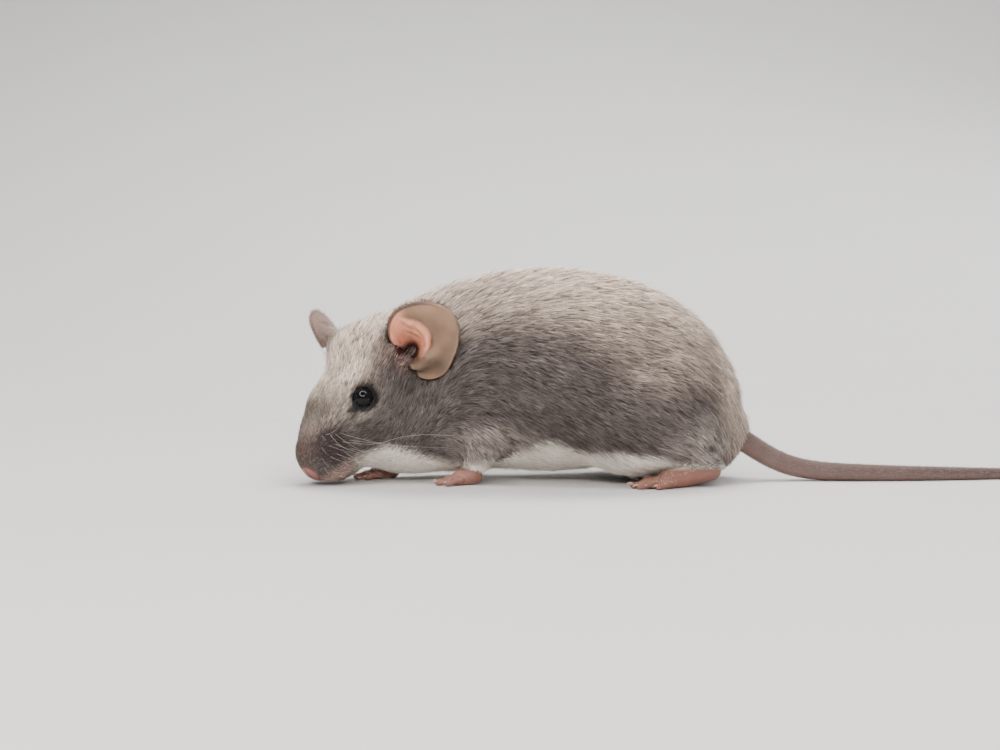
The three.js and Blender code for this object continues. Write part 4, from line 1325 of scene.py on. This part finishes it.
def make_coat(skin, material):
    points, triangles, normals = skin
    rng = np.random.default_rng(7)
    face, weights = scattered(points, triangles, coat_density(points, triangles, normals), rng)
    corner = triangles[face]
    root = (points[corner] * weights[..., None]).sum(1)
    n = unit((normals[corner] * weights[..., None]).sum(1))
    _, length, width, lift = coat_plan(root)
    way = lie_of_coat(root, n)
    pull, tone, bend = clumps(root, n, length)
    count = len(root)
    swing = 0.09 * rng.standard_normal(count) + 0.22 * (bend - 0.5) + 0.14 * noise(root, 5.0, 21)
    way = unit(way + np.cross(n, way) * swing[:, None])
    length = length * (0.84 + 0.32 * rng.random(count)) * (0.92 + 0.16 * tone)
    lift = lift * (0.70 + 0.55 * rng.random(count))
    guard = rng.random(count) < 0.05
    lift = np.where(guard, lift * 1.45 + 0.12, lift)
    width = np.where(guard, width * 0.6, width)
    crossing = before_canal(root) & (rng.random(count) < 0.25)
    over_canal = unit(0.35 * n - HEAD_AXES[0] + 0.14 * rng.standard_normal(n.shape))
    way = np.where(crossing[:, None], over_canal, way)
    length = np.where(crossing, 1.5 * (0.6 + 0.6 * rng.random(count)), length)
    lift = np.where(crossing, 0.9, lift)
    width = np.where(crossing, 0.07, width)
    base = coat_colour(root + way * (length * 0.6)[:, None], n)
    colours = tuft_colours(base, rng, 0.74 + 0.52 * tone, streaks(to_head(root)))
    colours[crossing] = EAR_HAIR * (0.75 + 0.5 * rng.random((crossing.sum(), 1, 1)))
    middle, tip = laid_on_skin(root, n, way, length, lift, pull, 0.5 + 0.12 * rng.random(count))
    middle, tip = kept_off_ears(root, middle, tip, ~crossing)
    kept = crossing | (np.minimum(ear_distance(tip), ear_distance(middle)) > -0.1)
    for name, chosen in coat_groups(root, np.nonzero(kept)[0]).items():
        uv = spread(unwrapped(root[chosen], *unwrap_line(name)))
        parts = (array[chosen] for array in (root, n, middle, tip, width, colours))
        tuft_mesh(name, *parts, uv, material)


def unwrap_line(name):
    """The line that the coat's unwrap goes round, and about how far off the skin is."""
    if "head" in name:
        return from_head((-6, 0, -3)), from_head((8, 0, -6)), 6.0
    return np.array((-8.0, 0, 14)), np.array((28.0, 0, 14)), 14.0


def spread(uv):
    """The unwrap scaled to fill the map."""
    low, high = uv.min(0), uv.max(0)
    return 0.003 + (uv - low) / (high - low) * 0.994


def coat_groups(root, kept):
    """The tufts of each piece of the coat, none over its share of triangles."""
    head = to_head(root)[kept, 0] > -10
    groups = {}
    split_evenly(groups, "coat_head", kept[head], root)
    split_evenly(groups, "coat_body", kept[~head], root)
    return groups


def split_evenly(groups, name, chosen, root):
    """Halves the chosen tufts across their longest way until each group is small enough."""
    if len(chosen) <= MOST_TUFTS:
        groups[name] = chosen
        return
    spans = root[chosen].max(0) - root[chosen].min(0)
    axis = int(np.argmax(spans))
    before = root[chosen, axis] < np.median(root[chosen, axis])
    first, second = (("front", "rear"), ("left", "right"), ("low", "high"))[axis]
    split_evenly(groups, f"{name}_{first}", chosen[before], root)
    split_evenly(groups, f"{name}_{second}", chosen[~before], root)


def ear_hairs(number, side, kind, rng):
    """Roots, normals, ways, lengths, widths, tones and map places of one kind of ear hair."""
    count, lean, size, width, tone = EAR_HAIRS[kind]
    angle, outward = ear_hair_places(kind, count, rng)
    here, normal, way = ear_frame(angle, outward)
    rows, at = ear_axes(side)
    back = -(normal * np.sign(normal[:, 2:] + 1e-9)) @ rows
    jitter = 0.25 * rng.standard_normal((count, 3))
    way = unit(way @ rows + lean * back + jitter)
    length = size * (0.6 + 0.6 * rng.random(count)) * (1.15 - 0.45 * outward)
    tones = tone + 0.35 * smooth(0.5, 0.2, outward)
    place = np.stack(((angle + 90) / 290 * 0.48 + 0.5 * number, outward * 0.98), 1)
    return here @ rows + at + back * 0.2, back, way, length, np.full(count, width), tones, place


def make_ear_down(material):
    """Fine short hair on the backs of the ears, thicker at the base, and a fringe on the rim."""
    rng = np.random.default_rng(11)
    parts = [ear_hairs(i, side, kind, rng) for i, side in enumerate(EARS) for kind in EAR_HAIRS]
    root, n, way, length, width, tone, uv = (np.concatenate(column) for column in zip(*parts))
    tip = root + way * length[:, None]
    middle = root + (tip - root) * 0.5 + n * (length * 0.05)[:, None]
    pale = EAR_DOWN * tone[:, None] * (0.85 + 0.3 * rng.random(len(root)))[:, None]
    colours = pale[:, None, :] * np.array((0.7, 0.9, 0.9, 1.0, 1.1))[None, :, None]
    tuft_mesh("coat_ears", root, n, middle, tip, width, colours, uv, material, "ear_skin")


def ear_hair_places(kind, count, rng):
    angle = rng.uniform(-80, 186, count)
    if kind == "back":
        return angle, 0.16 + 0.84 * rng.random(count) ** 1.5
    return angle, rng.uniform(0.95, 0.995, count)


def make_tail_hairs(material):
    """Short stiff hairs between the tail's scales."""
    rng = np.random.default_rng(13)
    count = 5200
    distance = rng.random(count) ** 0.85 * 79
    turn = rng.uniform(0, 2 * np.pi, count)
    centre, ahead, sideways, upward = tail_frames(distance)
    n = np.cos(turn)[:, None] * sideways + np.sin(turn)[:, None] * upward
    radius = tail_radius(distance)
    root = centre + n * (radius * 0.97)[:, None]
    length = (1.25 - 0.6 * distance / TAIL_LENGTH) * (0.7 + 0.6 * rng.random(count))
    tip = root + ahead * length[:, None] + n * (length * 0.16)[:, None]
    tip[:, 2] = np.maximum(tip[:, 2], 0.04)
    middle = (root + tip) / 2 + n * 0.03
    tone = (0.8 + 0.4 * rng.random(count))[:, None, None]
    colours = TAIL_HAIR * tone * np.ones((1, 5, 1))
    uv = np.stack((distance / TAIL_LENGTH, turn / 6.3), 1) * 0.99 + 0.004
    tuft_mesh("coat_tail", root, n, middle, tip, np.full(count, 0.045), colours, uv, material, "tail_skin")


# ---- whiskers -------------------------------------------------------------

# Rows of roots in the head's frame, and each row's direction at its front and rear ends.
WHISKER_ROWS = (
    ((9.0, 3.2, -1.0), (7.0, 4.6, -2.0), (0.55, 0.85, 0.15), (0.10, 0.95, -0.10)),
    ((10.2, 3.2, -2.4), (6.9, 5.3, -3.6), (0.60, 0.85, 0.00), (-0.55, 0.80, -0.62)),
    ((11.2, 3.0, -3.8), (7.4, 5.2, -5.0), (0.60, 0.85, -0.20), (-0.62, 0.66, -0.80)),
    ((11.5, 2.8, -5.2), (8.6, 4.8, -6.4), (0.45, 0.80, -0.55), (-0.50, 0.60, -1.00)),
)
WHISKER_COLUMNS, WHISKER_LENGTHS, WHISKER_RADIUS = 5, (4.0, 22.0), 0.020
BROW_WHISKERS = (((0.6, 3.9, 2.9), (0.1, 0.6, 0.8), 7.0), ((-0.4, 4.2, 3.0), (-0.3, 0.5, 0.8), 9.0))
# The longest whisker, swept back along the cheek, as points in the head's frame.
LONG_WHISKER = (
    (4.6, 5.5, -6.9), (3.2, 7.0, -7.3), (-1.0, 12.3, -8.9), (-5.1, 19.6, -12.8), (-8.2, 21.8, -16.8))


def make_whiskers(material):
    """Tapering tubes in rows on the pads, longer towards the rear, with a few over the eyes."""
    rng = np.random.default_rng(5)
    tubes = []
    for flip in (1, -1):
        for front, rear, front_way, rear_way in WHISKER_ROWS:
            for share in np.linspace(0, 1, WHISKER_COLUMNS):
                root = np.array(front) + (np.array(rear) - front) * share
                way = unit(np.array(front_way) + (np.array(rear_way) - front_way) * share)
                way = unit(way + 0.16 * rng.standard_normal(3))
                length = np.interp(share ** 1.3, (0, 1), WHISKER_LENGTHS) * (0.8 + 0.3 * rng.random())
                tubes.append(whisker(root, way, length, WHISKER_RADIUS, flip, rng))
        for root, way, length in BROW_WHISKERS:
            tubes.append(whisker(np.array(root), unit(way), length, WHISKER_RADIUS * 0.8, flip, rng))
        tubes.append(long_whisker(flip))
    mesh_object("whiskers", *joined(tubes), material)


def long_whisker(flip):
    t = np.linspace(0, len(LONG_WHISKER) - 1, 40)
    line = np.stack([np.interp(t, range(len(LONG_WHISKER)), column) for column in zip(*LONG_WHISKER)], 1)
    for _ in range(12):
        line[1:-1] = (line[:-2] + 2 * line[1:-1] + line[2:]) / 4
    centres = kept_outside(from_head(line * (1, flip, 1)))
    return whisker_tube(centres, 1.3 * WHISKER_RADIUS)


def whisker_tube(centres, radius):
    ahead = unit(np.gradient(centres, axis=0))
    sideways = unit(np.cross(ahead, (0.1, 0.2, 1)))
    taper = 1 - 0.82 * np.linspace(0, 1, len(centres))
    return tube(centres, sideways, np.cross(sideways, ahead), radius * taper, 5)


def joined(parts):
    """One set of points and faces from several."""
    starts = np.cumsum([0] + [len(points) for points, _ in parts[:-1]])
    faces = [f + start for (_, f), start in zip(parts, starts)]
    return np.concatenate([points for points, _ in parts]), np.concatenate(faces)


def whisker(root, way, length, radius, flip, rng):
    """One whisker: it leaves the pad straight and bends backwards and down."""
    t = np.linspace(0, 1, 20)[:, None]
    droop = unit(np.array((-0.8, -0.1, -0.30)) + 0.2 * rng.standard_normal(3))
    line = (root - way * 0.4 + way * (t * length) + droop * (t ** 2 * length * 0.22)) * (1, flip, 1)
    return whisker_tube(kept_outside(from_head(line)), radius)


def kept_outside(centres):
    """The line moved out of the coat and off the floor where it would pass through them."""
    distance = np.append(0, np.cumsum(np.linalg.norm(np.diff(centres, axis=0), axis=1)))
    wanted = np.clip((distance - 0.4) * 0.45, 0, 1.2)
    for _ in range(6):
        push = np.clip(wanted - in_chunks(skin_field, centres), 0, 0.5) * (distance > 0.4)
        push[1:-1] = (push[:-2] + 2 * push[1:-1] + push[2:]) / 4
        centres = centres + unit(gradient(skin_field, centres)) * push[:, None]
    centres[:, 2] = np.maximum(centres[:, 2], 0.2)
    return centres


# ---- stage, in metres -----------------------------------------------------

LAMP_RINGS, LAMP_RADIUS, LAMP_THICKNESS = 60, 0.21, 0.026
LAMP_AT, LAMP_TILT, LAMP_STRENGTH = (-0.035, -0.215, 0.31), 35, 17.5
CAMERA_LENS, CAMERA_BACK, CAMERA_HEIGHT, CAMERA_DROP = 63.53, 0.3, 0.035, 3.3


def make_stage():
    """A pale floor that sweeps up into a pale backdrop."""
    turn = np.linspace(0, np.pi / 2, 60)
    depth = np.concatenate((np.linspace(-6.0, 0.12, 20)[:-1], 0.12 + 1.5 * np.sin(turn), (1.62,)))
    height = np.concatenate((np.zeros(19), 1.5 * (1 - np.cos(turn)), (2.6,)))
    across = np.linspace(-5.0, 5.0, 41)
    x, d = np.meshgrid(across, depth)
    points = np.stack((x, d, np.repeat(height[:, None], 41, axis=1)), -1).reshape(-1, 3)
    number = np.arange(len(points)).reshape(x.shape)
    backdrop = stage_piece("backdrop", points, grid_faces(number)[:, ::-1])
    backdrop.data.polygons.foreach_set("use_smooth", np.ones(len(backdrop.data.polygons), bool))
    m = Nodes("paper")
    tone = m.noise(m.place((0.01, 0.01, 0.01)), 1.2, 2)
    m.join(m.mix(tone, (0.565, 0.553, 0.548), (0.59, 0.578, 0.572)), m.shader, "Base Color")
    m.join(m.range(m.noise(m.place((0.1, 0.1, 0.1)), 3.0, 2), 0.7, 0.8), m.shader, "Roughness")
    backdrop.data.materials.append(m.material)


def stage_piece(name, points, faces):
    """A piece of the stage, in metres."""
    mesh = bpy.data.meshes.new(name)
    mesh.from_pydata(points.tolist(), [], faces.tolist())
    thing = bpy.data.objects.new(name, mesh)
    bpy.context.scene.collection.objects.link(thing)
    return thing


def make_ring_lamp():
    """A lit ring in front and overhead, open on one side, that gives the eyes their catchlight."""
    turn = np.radians(np.linspace(20, 320, LAMP_RINGS))
    flat = np.stack((np.cos(turn), np.sin(turn), np.zeros(LAMP_RINGS)), 1)
    centres = LAMP_RADIUS * flat
    upward = np.tile((0, 0, 1.0), (LAMP_RINGS, 1))
    sideways = np.cross((0, 0, 1), unit(np.gradient(centres, axis=0)))
    radii = np.full(LAMP_RINGS, LAMP_THICKNESS)
    lamp = stage_piece("ring_lamp", *tube(centres, sideways, upward, radii, 10))
    lamp.location = LAMP_AT
    lamp.rotation_euler = (np.radians(LAMP_TILT), 0, 0)
    m = Nodes("lamp_glow")
    tone = m.noise(m.place((0.02, 0.02, 0.02)), 2.0, 1)
    m.join(m.mix(tone, (0.9, 0.9, 0.9), (1, 1, 1)), m.shader, "Base Color")
    m.shader.inputs["Emission Color"].default_value = (1, 0.98, 0.95, 1)
    m.shader.inputs["Emission Strength"].default_value = LAMP_STRENGTH
    lamp.data.materials.append(m.material)


def add_light(name, at, toward, size, power, colour=(1, 1, 1)):
    data = bpy.data.lights.new(name, "AREA")
    data.shape = "RECTANGLE"
    data.size, data.size_y = size
    data.energy = power
    data.color = colour
    light = bpy.data.objects.new(name, data)
    light.location = at
    way = Vector(np.array(toward) - np.array(at))
    light.rotation_euler = way.to_track_quat("-Z", "Y").to_euler()
    bpy.context.scene.collection.objects.link(light)
    return light


def make_lights():
    """A large soft light overhead that reflections leave out, a rear light, a lit backdrop and a dim room."""
    overhead = add_light("overhead", (0.0, 0.40, 0.78), (0, 0, 0.02), (0.50, 0.40), 10.0, (1.0, 0.985, 0.965))
    overhead.visible_glossy = False
    add_light("rear", (0.45, 0.45, 0.35), (0.03, 0, 0.02), (0.35, 0.35), 1.8)
    add_light("backdrop", (0.0, 0.55, 0.95), (0, 1.0, 0.40), (0.9, 0.3), 6.0)
    world = bpy.data.worlds.new("room")
    bpy.context.scene.world = world
    world.use_nodes = True
    nodes, links = world.node_tree.nodes, world.node_tree.links
    place, part = nodes.new("ShaderNodeTexCoord"), nodes.new("ShaderNodeSeparateXYZ")
    ramp = nodes.new("ShaderNodeMapRange")
    for socket, value in (("From Min", -0.8), ("From Max", 0.6), ("To Min", 0.10), ("To Max", 0.55)):
        ramp.inputs[socket].default_value = value
    links.new(place.outputs["Generated"], part.inputs["Vector"])
    links.new(part.outputs["Y"], ramp.inputs["Value"])
    links.new(ramp.outputs["Result"], nodes["Background"].inputs["Strength"])
    nodes["Background"].inputs["Color"].default_value = (0.97, 0.97, 1.0, 1)


def make_camera():
    data = bpy.data.cameras.new("view")
    data.lens, data.sensor_width = CAMERA_LENS, 36
    camera = bpy.data.objects.new("view", data)
    camera.location = (SHIFT[0], SHIFT[1] - CAMERA_BACK, CAMERA_HEIGHT)
    camera.rotation_euler = (np.radians(90 - CAMERA_DROP), 0, 0)
    bpy.context.scene.collection.objects.link(camera)
    bpy.context.scene.camera = camera


# ---- building -------------------------------------------------------------

coat = coat_material("coat")
skin = make_skin(skin_material())
ear_look = ear_material()
eye_look = eye_material()
for ear_side in EARS:
    make_ear(ear_side, ear_look)
    make_eye(ear_side, eye_look)
make_tail(tail_material())
make_claws(claw_material())
make_coat(skin, coat)
make_ear_down(coat)
make_tail_hairs(coat)
make_whiskers(whisker_material())
make_stage()
make_ring_lamp()
make_lights()
make_camera()
